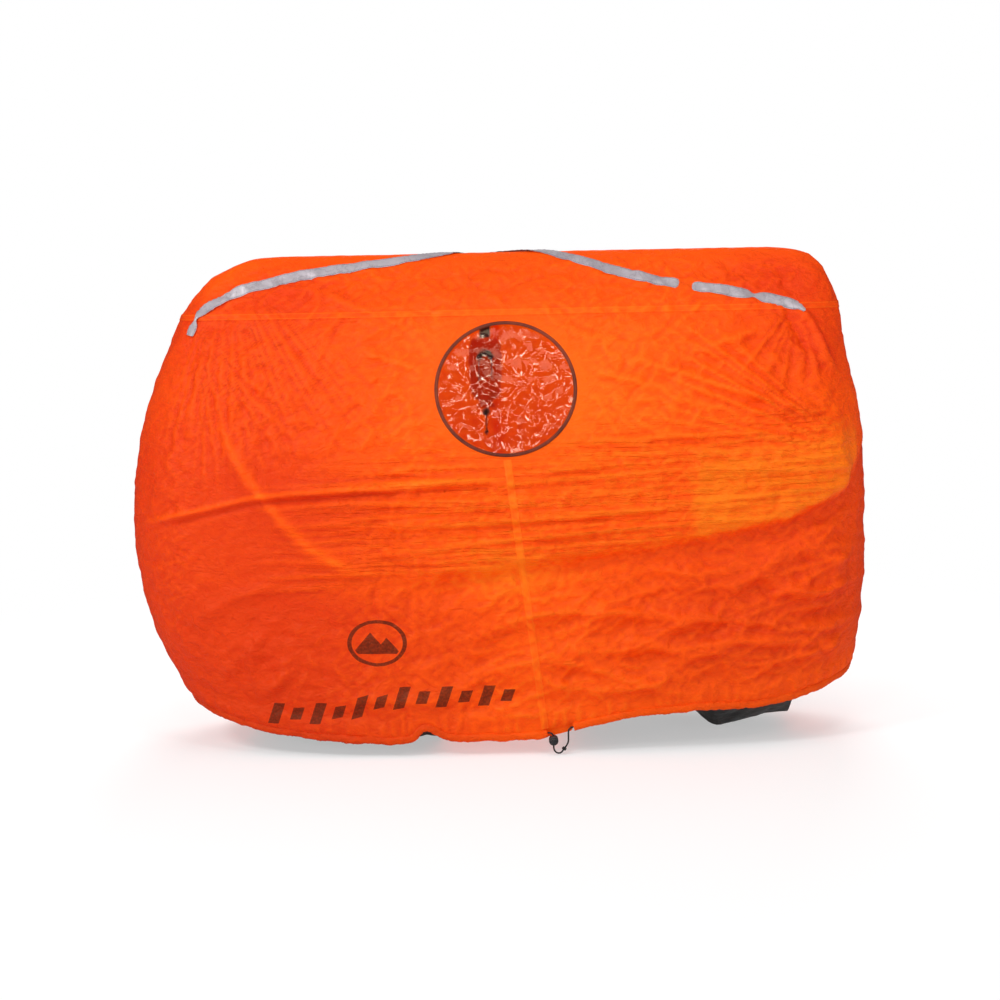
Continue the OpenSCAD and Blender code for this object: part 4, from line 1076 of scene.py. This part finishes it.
def tube(name, path, sizes, guides, sides=12, caps=True):
    """A tube along a path, with its half width along the guide and its half height at each point."""
    path, guides = np.asarray(path, float), np.asarray(guides, float)
    u, v = across_ways(path, guides)
    a = np.linspace(0, 2 * np.pi, sides + 1)[:-1]
    sizes = np.asarray(sizes, float)
    if sizes.ndim == 2:
        sizes = np.repeat(sizes[:, None, :], sides, 1)
    ring = (path[:, None] + (sizes[..., 0] * np.cos(a))[..., None] * u[:, None]
            + (sizes[..., 1] * np.sin(a))[..., None] * v[:, None])
    n = len(path)
    faces = [((i + 1) * sides + (k + 1) % sides, (i + 1) * sides + k, i * sides + k, i * sides + (k + 1) % sides)
             for i in range(n - 1) for k in range(sides)]
    if caps:
        faces += [tuple(range(sides))[::-1], tuple((n - 1) * sides + k for k in range(sides))]
    obj = new_mesh(name, ring, faces)
    set_floats(obj, "along", np.repeat(run_marks(path), sides))
    set_floats(obj, "around", np.tile(a / (2 * np.pi), n))
    return obj


def ruffle(p):
    """Sideways and upward stray of the gathered hem."""
    stray = 0.0022 * grain(p * [26, 26, 8], 101) + 0.0016 * grain(p * [60, 60, 9], 102)
    sway = 0.0020 * grain(p * [18, 18, 8], 103)
    return stray, sway


HEM_STEP, HEM_RING = 0.0028, 14
hem_path, hem_out, hem_sides = hem_line(HEM_STEP)
stray, sway = ruffle(hem_path)
hem_path = hem_path + hem_out * sway[:, None]
hem_path[:, 2] += stray
mark = run_marks(hem_path)
ring_turn = np.linspace(0, 2 * np.pi, HEM_RING + 1)[:-1]
pleat_place = np.stack(np.broadcast_arrays(mark[:, None] * 95, 1.3 * np.cos(ring_turn),
                                           1.3 * np.sin(ring_turn)), -1)
pleats = ridges(pleat_place, 105, 1.2) * 0.75 + 0.45 * ridges(pleat_place * [0.42, 1, 1], 106, 1.4)
hem_at = hem_path[:, 0]
bunch = bell((hem_at + 0.285) / 0.05) + bell((hem_at - 0.44) / 0.10) + 0.6 * bell((hem_at - 0.10) / 0.05)
bunch = bunch * (hem_sides < 0)
grow = 0.92 + (0.42 + 0.30 * bunch[:, None]) * pleats
grow_up = 0.94 + (0.20 + 0.10 * bunch[:, None]) * pleats
hem_sizes = np.stack([TUNNEL_THICKNESS / 2 * grow, TUNNEL_HEIGHT / 2 * grow_up], -1)
hem_sizes = hem_sizes * np.clip(ease((hem_path[:, 2] - 0.004) / 0.01), 0.6, 1)[:, None, None]
hem = tube("hem_tunnel_cloth", hem_path, hem_sizes, hem_out, sides=HEM_RING, caps=False)
finish_cloth(hem, nylon, "hem_tunnel")

# ---- Drawcord, its free loop, knot and cord lock ----
# Black elastic cord with a woven cover runs in the hem. Both ends come out of the hem's mouths
# at the front as one free loop, which passes through a cord lock and is closed by a knot.
CORD_D = 0.003
LOOP_Y = -0.2305
LOOP_ROUTE = [(84, 41), (88, 38.6), (90, 34), (90, 26), (90, 18), (90, 13), (91.5, 8), (95.5, 4.2), (100.5, 3.4),
              (104.5, 5.5), (109, 11.5), (113.5, 17.5), (116.5, 24), (117, 32), (117.2, 42), (119, 47.6)]
LOOP_KNOT = (0.109, LOOP_Y, 0.0115)


def smooth_line(points, steps):
    """A smooth line through points, with some steps between each two."""
    points = np.asarray(points, float)
    n = len(points) - 1
    done = []
    for i in range(n):
        a, b, c, d = points[max(0, i - 1)], points[i], points[i + 1], points[min(n, i + 2)]
        for t in np.arange(steps) / steps:
            done.append(curve(a, b, c, d, t))
    return np.array(done + [points[-1]])


def cord_tube(name, points, diameter, body, node, guide=(0, 1.0, 0), sides=12):
    """A length of the black braided cord."""
    points = np.asarray(points, float)
    guides = np.broadcast_to(np.asarray(guide, float), points.shape)
    cord = tube(name, points, np.full((len(points), 2), diameter / 2), guides, sides=sides)
    dress(cord, cord_mat, body, node)
    return cord


def cord_material(name, dark, light, pitch):
    """Braided cord: slanting yarns that cross round it."""
    mat, tree, shader = new_material(name, Roughness=0.62, Specular_IOR_Level=0.3, Sheen_Weight=0.2,
                                     Sheen_Roughness=0.5)
    along = attribute(tree, "along")
    around = attribute(tree, "around")
    run = calc(tree, "MULTIPLY", along, pitch)
    turn = calc(tree, "MULTIPLY", around, 2 * np.pi * 4)
    waves = []
    for way in ("ADD", "SUBTRACT"):
        waves.append(calc(tree, "SINE", calc(tree, way, run, turn)))
    braid = calc(tree, "MULTIPLY", *waves)
    tint = ramp(tree, braid, [(0.2, dark), (0.8, light)])
    tree.links.new(tint, shader.inputs["Base Color"])
    bump_stack(tree, shader, [(braid, 0.5, 0.0004)])
    return mat


cord_mat = cord_material("black_braid", (0.006, 0.006, 0.007), (0.030, 0.030, 0.032), 2800.0)
cord_tube("drawcord_in_hem", hem_path[::3], CORD_D, "shelter", "drawcord", hem_out[::3], sides=8)

loop_left, loop_right = hem_path[-1] + [0.0006, 0, 0], hem_path[0] - [0.0006, 0, 0]
loop_points = smooth_line([loop_left] + [(x / 1000, LOOP_Y, z / 1000) for x, z in LOOP_ROUTE] + [loop_right], 6)
loop = cord_tube("drawcord_free_loop", loop_points, CORD_D, "shelter", "drawcord_loop")


def wrapped_knot(name, body, node, middle, run, cord_d, size, length, turns=2.6):
    """A small tight knot: the cord wound round itself and drawn down."""
    run = np.asarray(run, float) / np.linalg.norm(run)
    side = np.cross(run, [0, 1.0, 0])
    side /= np.linalg.norm(side)
    front = np.cross(side, run)
    t = np.linspace(0, 1, 70)
    turn = 2 * np.pi * turns * t
    reach = (size / 2 - cord_d / 2) * (0.80 + 0.20 * np.sin(np.pi * t))
    place = (np.asarray(middle, float) + ((t - 0.5) * (length - cord_d) * 0.95)[:, None] * run
             + (reach * np.cos(turn))[:, None] * side + (reach * np.sin(turn))[:, None] * front)
    return cord_tube(name, place, cord_d * 1.05, body, node, run, sides=10)


knot = wrapped_knot("drawcord_loop_knot", "shelter", "drawcord_knot", LOOP_KNOT, (0.009, 0, 0.012), CORD_D,
                    0.0084, 0.0068)

moulded, tree, shader = new_material("black_moulding", Roughness=0.42, Specular_IOR_Level=0.5)
place = object_place(tree)
grit = noise(tree, place, Scale=2200.0, Detail=3.0)
rub = noise(tree, place, Scale=260.0, Detail=4.0)
tint = ramp(tree, rub, [(0.35, (0.012, 0.012, 0.013)), (0.75, (0.045, 0.045, 0.048))])
tree.links.new(tint, shader.inputs["Base Color"])
rough = remap(tree, grit, to=(0.34, 0.55))
tree.links.new(rough, shader.inputs["Roughness"])
bump_stack(tree, shader, [(grit, 0.25, 0.0002)])
for node in ("cord_lock_body", "cord_lock_plunger", "sack_lock_body", "sack_lock_plunger"):
    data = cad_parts[node].data
    if not data.materials:
        data.materials.append(moulded)
    for i in range(len(data.materials)):
        data.materials[i] = moulded

steel, tree, shader = new_material("spring_wire", Roughness=0.25, Metallic=1.0)
place = object_place(tree)
drawn = noise(tree, place, Scale=1500.0, Detail=2.0)
tint = ramp(tree, drawn, [(0.3, (0.42, 0.42, 0.43)), (0.7, (0.66, 0.66, 0.68))])
tree.links.new(tint, shader.inputs["Base Color"])


WIRE_RADIUS, SPRING_TURNS = 0.0003, 3


def spring(name, node, body, middle, back, front, coil):
    """A coil of steel wire behind the plunger, which flattens as the button is pressed."""
    t = np.linspace(0, 1, 90)
    turn = 2 * np.pi * SPRING_TURNS * t
    place = np.stack([middle[0] + coil * np.cos(turn), back + (front - back) * t,
                      middle[1] + coil * np.sin(turn)], 1)
    wire = tube(name, place, np.full((90, 2), WIRE_RADIUS), np.tile([0, 1.0, 0], (90, 1)), sides=8)
    dress(wire, steel, body, node)
    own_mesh(wire)
    return wire


lock_spring = spring("cord_lock_coil", "cord_lock_spring", "cord_lock", (0.090, 0.027),
                     -0.2216, -0.2262, 0.0037)

# ---- Sling seats ----
# Two pieces of black coated nylon, sewn to the hem at the front and rear. Each hangs down from
# it to the ground, where it makes a seat, and has a bound edge towards the middle.
SEAT_INNER, SEAT_FLAT = 0.120, 0.060
SEAT_END_INSET, SEAT_RISE, SEAT_SLUNG = 0.035, {-1: 0.040, 1: 0.026}, {-1: 0.0, 1: 0.060}
SEAT_FLOOR, SEAT_INWARD = {-1: 0.0012, 1: 0.006}, 0.0041
seat_mat, tree, shader = new_material("black_seat_nylon", Roughness=0.5, Specular_IOR_Level=0.35,
                                       Sheen_Weight=0.15)
place = object_place(tree)
weave = use_group(tree, WEAVE, Vector=place, Yarns=1900.0)
small = use_group(tree, CRINKLE, Vector=place, Size=42.0, Stretch=1.0)
tint = ramp(tree, small.outputs["Dust"], [(0.35, (0.013, 0.012, 0.012)), (0.72, (0.034, 0.032, 0.031))])
tree.links.new(tint, shader.inputs["Base Color"])
worn = remap(tree, weave.outputs["Shade"], to=(0.42, 0.60))
tree.links.new(worn, shader.inputs["Roughness"])
bump_stack(tree, shader, [(weave.outputs["Height"], 0.25, 0.0003), (small.outputs["Height"], 0.35, 0.0012)])
binding_cloth = cord_material("black_edge_binding", (0.008, 0.008, 0.008), (0.022, 0.022, 0.023), 1500.0)


def hem_edge(x, side):
    """Where the seat is sewn on: the inner side of the hem at a distance along it."""
    on_side = (hem_path[:, 1] * side > 0)
    order = np.argsort(hem_path[on_side, 0])
    px, py, pz = (hem_path[on_side, k][order] for k in range(3))
    return np.interp(x, px, py) - side * SEAT_INWARD, np.interp(x, px, pz)


def seat_outer(hand):
    return float(half_length(hand, HEM_HEIGHT + TUNNEL_HEIGHT)) - SEAT_END_INSET


def seat_row(x, v, hand):
    """Points from the middle to the front or the rear edge of a seat, at a distance along the shelter."""
    outer = seat_outer(hand)
    edge_y, edge_z = hem_edge(x, np.sign(v[0]))
    y = np.abs(edge_y) * v
    slung = SEAT_SLUNG[hand] * (1 - ease((np.abs(x) - 0.32) / 0.09))
    base = SEAT_FLOOR[hand] + SEAT_RISE[hand] * ease((np.abs(x) / outer - 0.7) / 0.3) + slung
    base = np.minimum(base, edge_z - 0.004)
    rise = np.clip((np.abs(y) - SEAT_FLAT) / (np.abs(edge_y) - SEAT_FLAT), 0, 1)
    z = base + (edge_z - base) * (0.35 * rise + 0.65 * ease(rise)) ** 1.15
    place = np.stack([x + 0 * y, y, 0 * y + hand], -1)
    crease_up = 0.0050 * ridges(place * [16, 7, 1], 111, 1.5) + 0.0035 * ridges(place * [34, 20, 1], 112, 1.4)
    free = ease((1 - np.abs(v)) / 0.06)
    z = z + crease_up * free * (0.25 + 0.75 * ease(rise / 0.2))
    z = z + 0.0014 * ridges(place * [60, 60, 1], 113, 1.3) * free
    return np.stack([x + 0 * y, y, np.maximum(z, 0.0008)], -1)


def seat_cloth(name, hand):
    """A seat from its bound edge to its outer end, and the grid of its points."""
    xs = hand * np.linspace(SEAT_INNER, seat_outer(hand), 60)
    vs = np.linspace(-1, 1, 84)
    grid = np.array([np.concatenate([seat_row(x, vs[vs < 0], hand), seat_row(x, vs[vs > 0], hand)]) for x in xs])
    faces = grid_faces(len(xs), grid.shape[1])
    if hand > 0:
        faces = [f[::-1] for f in faces]
    return new_mesh(name, grid, faces), grid


for hand, name, node in ((-1, "seat_left_cloth", "seat_left"), (1, "seat_right_cloth", "seat_right")):
    seat, grid = seat_cloth(name, hand)
    thick = seat.modifiers.new("thickness", "SOLIDIFY")
    thick.thickness, thick.offset = 0.0006, 0
    dress(seat, seat_mat, "shelter", node)
    edge = grid[0][2:-2]
    trim = tube(name.replace("cloth", "binding_trim"), edge + [-hand * 0.002, 0, 0.0006],
                np.full((len(edge), 2), [0.0030, 0.0017]), np.tile([1.0, 0, 0], (len(edge), 1)), sides=10)
    dress(trim, binding_cloth, "shelter", node + "_binding")
    across = run_marks(grid[20])[-1]

# ---- Stowage sack ----
# The shelter packs into this small sack of the same nylon. It stays sewn to the roof by a strap
# of grey webbing that turns on a short bar, and hangs mouth down, with a loop handle in front.
SACK_X, SACK_WIDTH, SACK_DEPTH, SACK_HEIGHT = -0.021, 0.082, 0.038, 0.120
SACK_TOP = RIDGE_HEIGHT - 0.162
SACK_BOTTOM = SACK_TOP - SACK_HEIGHT
PIVOT_Z, PIN_RADIUS = 0.8962, 0.003
WEBBING_WIDTH, WEBBING_THICK = 0.020, 0.0016
SACK_ROWS = [(-0.09, 0.36, 0.5), (-0.05, 0.3, 0.44), (0, 0.18, 0.34), (0.06, 0.4, 0.62), (0.16, 0.74, 0.9),
             (0.34, 0.97, 1), (0.6, 1, 0.98), (0.84, 0.96, 0.82), (0.96, 0.86, 0.5), (1, 0.72, 0.3)]
webbing_mat, tree, shader = new_material("grey_webbing", Roughness=0.7, Specular_IOR_Level=0.3, Sheen_Weight=0.25)
along = attribute(tree, "along")
across = attribute(tree, "around")
run = calc(tree, "MULTIPLY", along, 3400.0)
rib = calc(tree, "MULTIPLY", across, 150.0)
slant = calc(tree, "ADD", run, rib)
yarn = calc(tree, "SINE", slant)
herring = calc(tree, "SINE", rib)
rough_yarn = calc(tree, "MULTIPLY", yarn, herring)
tint = ramp(tree, rough_yarn, [(0.2, (0.030, 0.029, 0.030)), (0.8, (0.085, 0.082, 0.083))])
tree.links.new(tint, shader.inputs["Base Color"])
bump_stack(tree, shader, [(rough_yarn, 0.5, 0.0005)])


def squarer(v, power):
    """A round section's sine or cosine, pushed out towards a square's."""
    return np.sign(v) * np.abs(v) ** power


def webbing(name, path, across, width, thick=WEBBING_THICK):
    """A flat woven strap along a path, with rounded edges."""
    path = np.asarray(path, float)
    n = len(path)
    guides = np.tile(np.asarray(across, float), (n, 1)) if np.ndim(across) == 1 else np.asarray(across, float)
    strap = tube(name, path, np.full((n, 2), [width / 2, thick / 2]), guides, sides=16)
    # Squared section: the sides of the oval are pushed out to a flat strap.
    u, v = across_ways(path, guides)
    a = np.linspace(0, 2 * np.pi, 17)[:-1]
    co = (path[:, None] + (width / 2 * squarer(np.cos(a), 0.45))[:, None] * u[:, None]
          + (thick / 2 * squarer(np.sin(a), 0.45))[:, None] * v[:, None])
    strap.data.vertices.foreach_set("co", co.ravel())
    strap.data.materials.append(webbing_mat)
    return strap


# The bar under the ridge is a roll of the same webbing, with a stitched tab at each end.
bar_x = np.linspace(-0.014, 0.014, 24)
bar = tube("roof_hanger_roll", np.stack([SACK_X + bar_x, 0 * bar_x, PIVOT_Z + 0 * bar_x], 1),
           np.full((24, 2), PIN_RADIUS), np.tile([0, 1.0, 0], (24, 1)), sides=20)
bar.data.materials.append(webbing_mat)
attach(bar, "shelter")
roof_under, TAB_REACH = RIDGE_HEIGHT - 0.0022, 0.0034
for hand in (-1, 1):
    tab_x = SACK_X + hand * 0.014
    turn = np.linspace(-np.pi, 0, 14)
    under = np.stack([0 * turn + tab_x, TAB_REACH * np.cos(turn), PIVOT_Z + TAB_REACH * np.sin(turn)], 1)
    tab_path = np.concatenate([[(tab_x, -0.0030, roof_under)], under, [(tab_x, 0.0030, roof_under)]])
    tab = webbing(f"roof_hanger_tab_{'left' if hand < 0 else 'right'}", tab_path, (1, 0, 0), 0.004, 0.0009)
    tab.parent = bar
    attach(tab, "shelter")
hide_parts("roof_hanger")

# The strap is one length of webbing, doubled over the bar and sewn into the sack's base seam.
eye = PIN_RADIUS + 0.0004 + WEBBING_THICK / 2
turn = np.linspace(np.pi * 1.28, -np.pi * 0.28, 30)
over = np.stack([0 * turn + SACK_X, eye * np.cos(turn), PIVOT_Z + eye * np.sin(turn)], 1)
heights = [SACK_TOP + 0.0015, SACK_TOP + 0.05, PIVOT_Z - 0.012]
strap_path = np.concatenate([[(SACK_X, -0.0009, z) for z in heights], over,
                             [(SACK_X, 0.0009, z) for z in heights[::-1]]])
strap = webbing("sack_strap_webbing", strap_path, (1, 0, 0), WEBBING_WIDTH)
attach(strap, "sack")
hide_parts("sack_strap")

sack_nylon = nylon_material("sack_nylon", (0.34, 0.018, 0.006), (0.66, 0.040, 0.006), (0.90, 0.075, 0.010),
                            crinkle=1.5)
# A stronger painted glow brightens the sack, which hangs in the shade inside the shelter.
sack_nylon.node_tree.nodes["Principled BSDF"].inputs["Emission Strength"].default_value = 0.22
rows = np.array(SACK_ROWS)
share = np.concatenate([np.linspace(-0.09, 0.10, 24), np.linspace(0.115, 1.0, 58)])
wide, deep = (np.interp(share, rows[:, 0], rows[:, k]) for k in (1, 2))
for values in (wide, deep):
    for _ in range(3):
        values[1:-1] = (values[:-2] + 2 * values[1:-1] + values[2:]) / 4
SACK_SIDES = 96
turn = np.linspace(0, 2 * np.pi, SACK_SIDES + 1)[:-1]
sx = SACK_X + wide[:, None] * SACK_WIDTH / 2 * squarer(np.cos(turn), 0.8)
sy = deep[:, None] * SACK_DEPTH / 2 * squarer(np.sin(turn), 0.8)
sz = SACK_BOTTOM + share[:, None] * SACK_HEIGHT + 0 * sx
place = np.stack([np.cos(turn) * 3.2 + 0 * sx, np.sin(turn) * 3.2 + 0 * sx, share[:, None] * 4 + 0 * sx], -1)
pleat = ridges(place * [3.0, 3.0, 0.35], 121, 1.3) * bell((share[:, None] - 0.0) / 0.17)
slump = ridges(place * [1, 1, 1.6], 122, 1.6) * ease(share[:, None] / 0.2)
swell = 1 + 0.55 * (pleat - 0.45) - 0.10 * (slump - 0.2) + 0.05 * grain(place, 123)
sx, sy = SACK_X + (sx - SACK_X) * swell, np.clip(sy * swell, -0.0188, 0.021)
last = (len(share) - 1) * SACK_SIDES
ends = [tuple(range(SACK_SIDES)), tuple(range(last, last + SACK_SIDES))[::-1]]
sack = new_mesh("stowage_sack_cloth", np.stack([sx, sy, sz], -1),
                grid_faces(len(share), SACK_SIDES, closed=True) + ends)
finish_cloth(sack, sack_nylon, "stuff_sack", body="sack", tone_and_painted_light=False)
set_floats(sack, "tone_and_painted_light", np.full(len(sack.data.vertices), 0.5))

# The handle is a loop of the webbing that stands out from the front of the sack.
HANDLE_Z, HANDLE_HALF = (0.673, 0.724), 0.012
front_y = -0.0215
turn = np.linspace(np.pi, 0, 20)
bow = np.stack([SACK_X + HANDLE_HALF * np.cos(turn), 0 * turn + front_y - 0.006,
                HANDLE_Z[1] - HANDLE_HALF + HANDLE_HALF * np.sin(turn)], 1)
legs = [[(SACK_X + hand * HANDLE_HALF, front_y, HANDLE_Z[0]),
         (SACK_X + hand * HANDLE_HALF, front_y - 0.004, HANDLE_Z[0] + 0.015)] for hand in (-1, 1)]
handle_path = np.concatenate([legs[0], bow, legs[1][::-1]])
handle_path = smooth_line(handle_path, 2)
handle = webbing("sack_handle_loop", handle_path, (0, 0, 1), 0.011, 0.0016)
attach(handle, "sack")
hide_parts("sack_handle")

# The sack's own cord comes down out of its mouth, through a second cord lock, to a knot.
SACK_CORD_D, SACK_CORD_TOP, SACK_CORD_LENGTH = 0.0026, 0.6189, 0.052
drop = np.linspace(SACK_CORD_TOP, SACK_CORD_TOP - SACK_CORD_LENGTH, 30)
sack_cord_points = np.stack([SACK_X + 0 * drop, 0 * drop, drop], 1)
sack_cord = cord_tube("sack_mouth_cord", sack_cord_points, SACK_CORD_D, "sack", "sack_cord")
sack_knot = wrapped_knot("sack_mouth_cord_knot", "sack", "sack_cord_knot",
                         (SACK_X, 0, SACK_CORD_TOP - SACK_CORD_LENGTH + 0.006), (0, 0, 1), SACK_CORD_D,
                         0.0074, 0.0062)
sack_spring = spring("sack_lock_coil", "sack_lock_spring", "sack_lock", (SACK_X, 0.6108),
                     0.0079, 0.0043, 0.0028)

# ---- Ground, light and camera ----
# The shelter stands on a plain pale floor under broad soft lamps.
FLOOR_PALE = (0.90, 0.90, 0.90)
ROOM_LIGHT, ROOM_GLOSS = 0.28, 0.08


def soft_lamp(name, place, aim, size, power, mirrored=True):
    """A broad lamp; one that is not mirrored leaves no glint in the window."""
    data = bpy.data.lights.new(name, "AREA")
    data.shape, data.size, data.size_y = "RECTANGLE", size[0], size[1]
    data.energy = power
    lamp = bpy.data.objects.new(name, data)
    bpy.context.scene.collection.objects.link(lamp)
    lamp.location = place
    lamp.visible_glossy = mirrored
    lamp.rotation_euler = (Vector(aim) - Vector(place)).to_track_quat("-Z", "Y").to_euler()
    return lamp


soft_lamp("key_lamp", (-2.3, -2.3, 2.9), (0, 0, 0.45), (0.9, 0.9), 64)
soft_lamp("fill_lamp", (2.6, -2.4, 1.2), (0, 0, 0.45), (1.0, 1.6), 6, mirrored=False)
soft_lamp("top_lamp", (0.2, -0.9, 3.0), (0, 0, 0.5), (2.2, 1.4), 26, mirrored=False)
soft_lamp("rear_lamp", (0.3, 2.8, 2.0), (0, 0, 0.5), (2.4, 1.6), 120, mirrored=False)
for place in ((1.7, -2.6, 2.3), (-0.5, -3.0, 2.6), (-2.6, -1.9, 1.0), (2.3, -2.7, 0.7), (0.5, -2.2, 3.2),
              (-1.2, -3.4, 1.4)):
    soft_lamp("glint_lamp", place, (0, 0, 0.6), (0.5, 0.5), 10)

world = bpy.data.worlds.new("pale_studio")
bpy.context.scene.world = world
world.use_nodes = True
sky = world.node_tree
sky.nodes["Background"].inputs["Color"].default_value = (1, 1, 1, 1)
seen = add_node(sky, "ShaderNodeLightPath")
dull = remap(sky, seen.outputs["Is Diffuse Ray"], to=(ROOM_GLOSS, ROOM_LIGHT))
power = add_node(sky, "ShaderNodeMapRange", {"Value": seen.outputs["Is Camera Ray"], "To Min": dull},
                 put={"To Max": 1.0})
sky.links.new(power.outputs[0], sky.nodes["Background"].inputs["Strength"])

FLOOR_RADIUS, FLOOR_SIDES = 20, 64
rim = np.linspace(0, 2 * np.pi, FLOOR_SIDES + 1)[:-1]
floor = new_mesh("floor", [(FLOOR_RADIUS * np.cos(a), FLOOR_RADIUS * np.sin(a), 0) for a in rim],
                 [tuple(range(FLOOR_SIDES))])
floor_mat, tree, shader = new_material("pale_floor", Roughness=0.9, Specular_IOR_Level=0.1)
shader.inputs["Base Color"].default_value = (*FLOOR_PALE, 1)
shader.inputs["Emission Color"].default_value = (1, 1, 1, 1)
place = add_node(tree, "ShaderNodeTexCoord")
far = add_node(tree, "ShaderNodeVectorMath", {0: place.outputs["Object"]}, operation="LENGTH")
fade = remap(tree, far.outputs["Value"], span=(0.5, 1.9), to=(0.45, 1.0), interpolation_type="SMOOTHSTEP")
seen = add_node(tree, "ShaderNodeLightPath")
shown = calc(tree, "MULTIPLY", fade, seen.outputs["Is Camera Ray"])
glow = add_node(tree, "ShaderNodeEmission", put={"Strength": 1.0})
mix = add_node(tree, "ShaderNodeMixShader", {0: shown, 1: shader.outputs[0], 2: glow.outputs[0]})
tree.links.new(mix.outputs[0], tree.nodes["Material Output"].inputs["Surface"])
floor.data.materials.append(floor_mat)
floor.visible_glossy = floor.visible_transmission = False

CAMERA_FAR, CAMERA_AIM, CAMERA_RISE, CAMERA_ROLL = 3.8, 0.458, np.radians(6.75), np.radians(1.2)
lens = bpy.data.cameras.new("camera")
lens.sensor_width, lens.lens = 36.0, 71.64
lens.shift_x, lens.shift_y = 0.001, -0.0086
camera = bpy.data.objects.new("camera", lens)
bpy.context.scene.collection.objects.link(camera)
place = (0, -CAMERA_FAR * np.cos(CAMERA_RISE), CAMERA_AIM + CAMERA_FAR * np.sin(CAMERA_RISE))
camera.matrix_world = (Matrix.Translation(place)
                       @ Matrix.Rotation(np.pi / 2 - CAMERA_RISE, 4, "X") @ Matrix.Rotation(-CAMERA_ROLL, 4, "Z"))
bpy.context.scene.camera = camera
bpy.context.scene.view_settings.view_transform = "Standard"
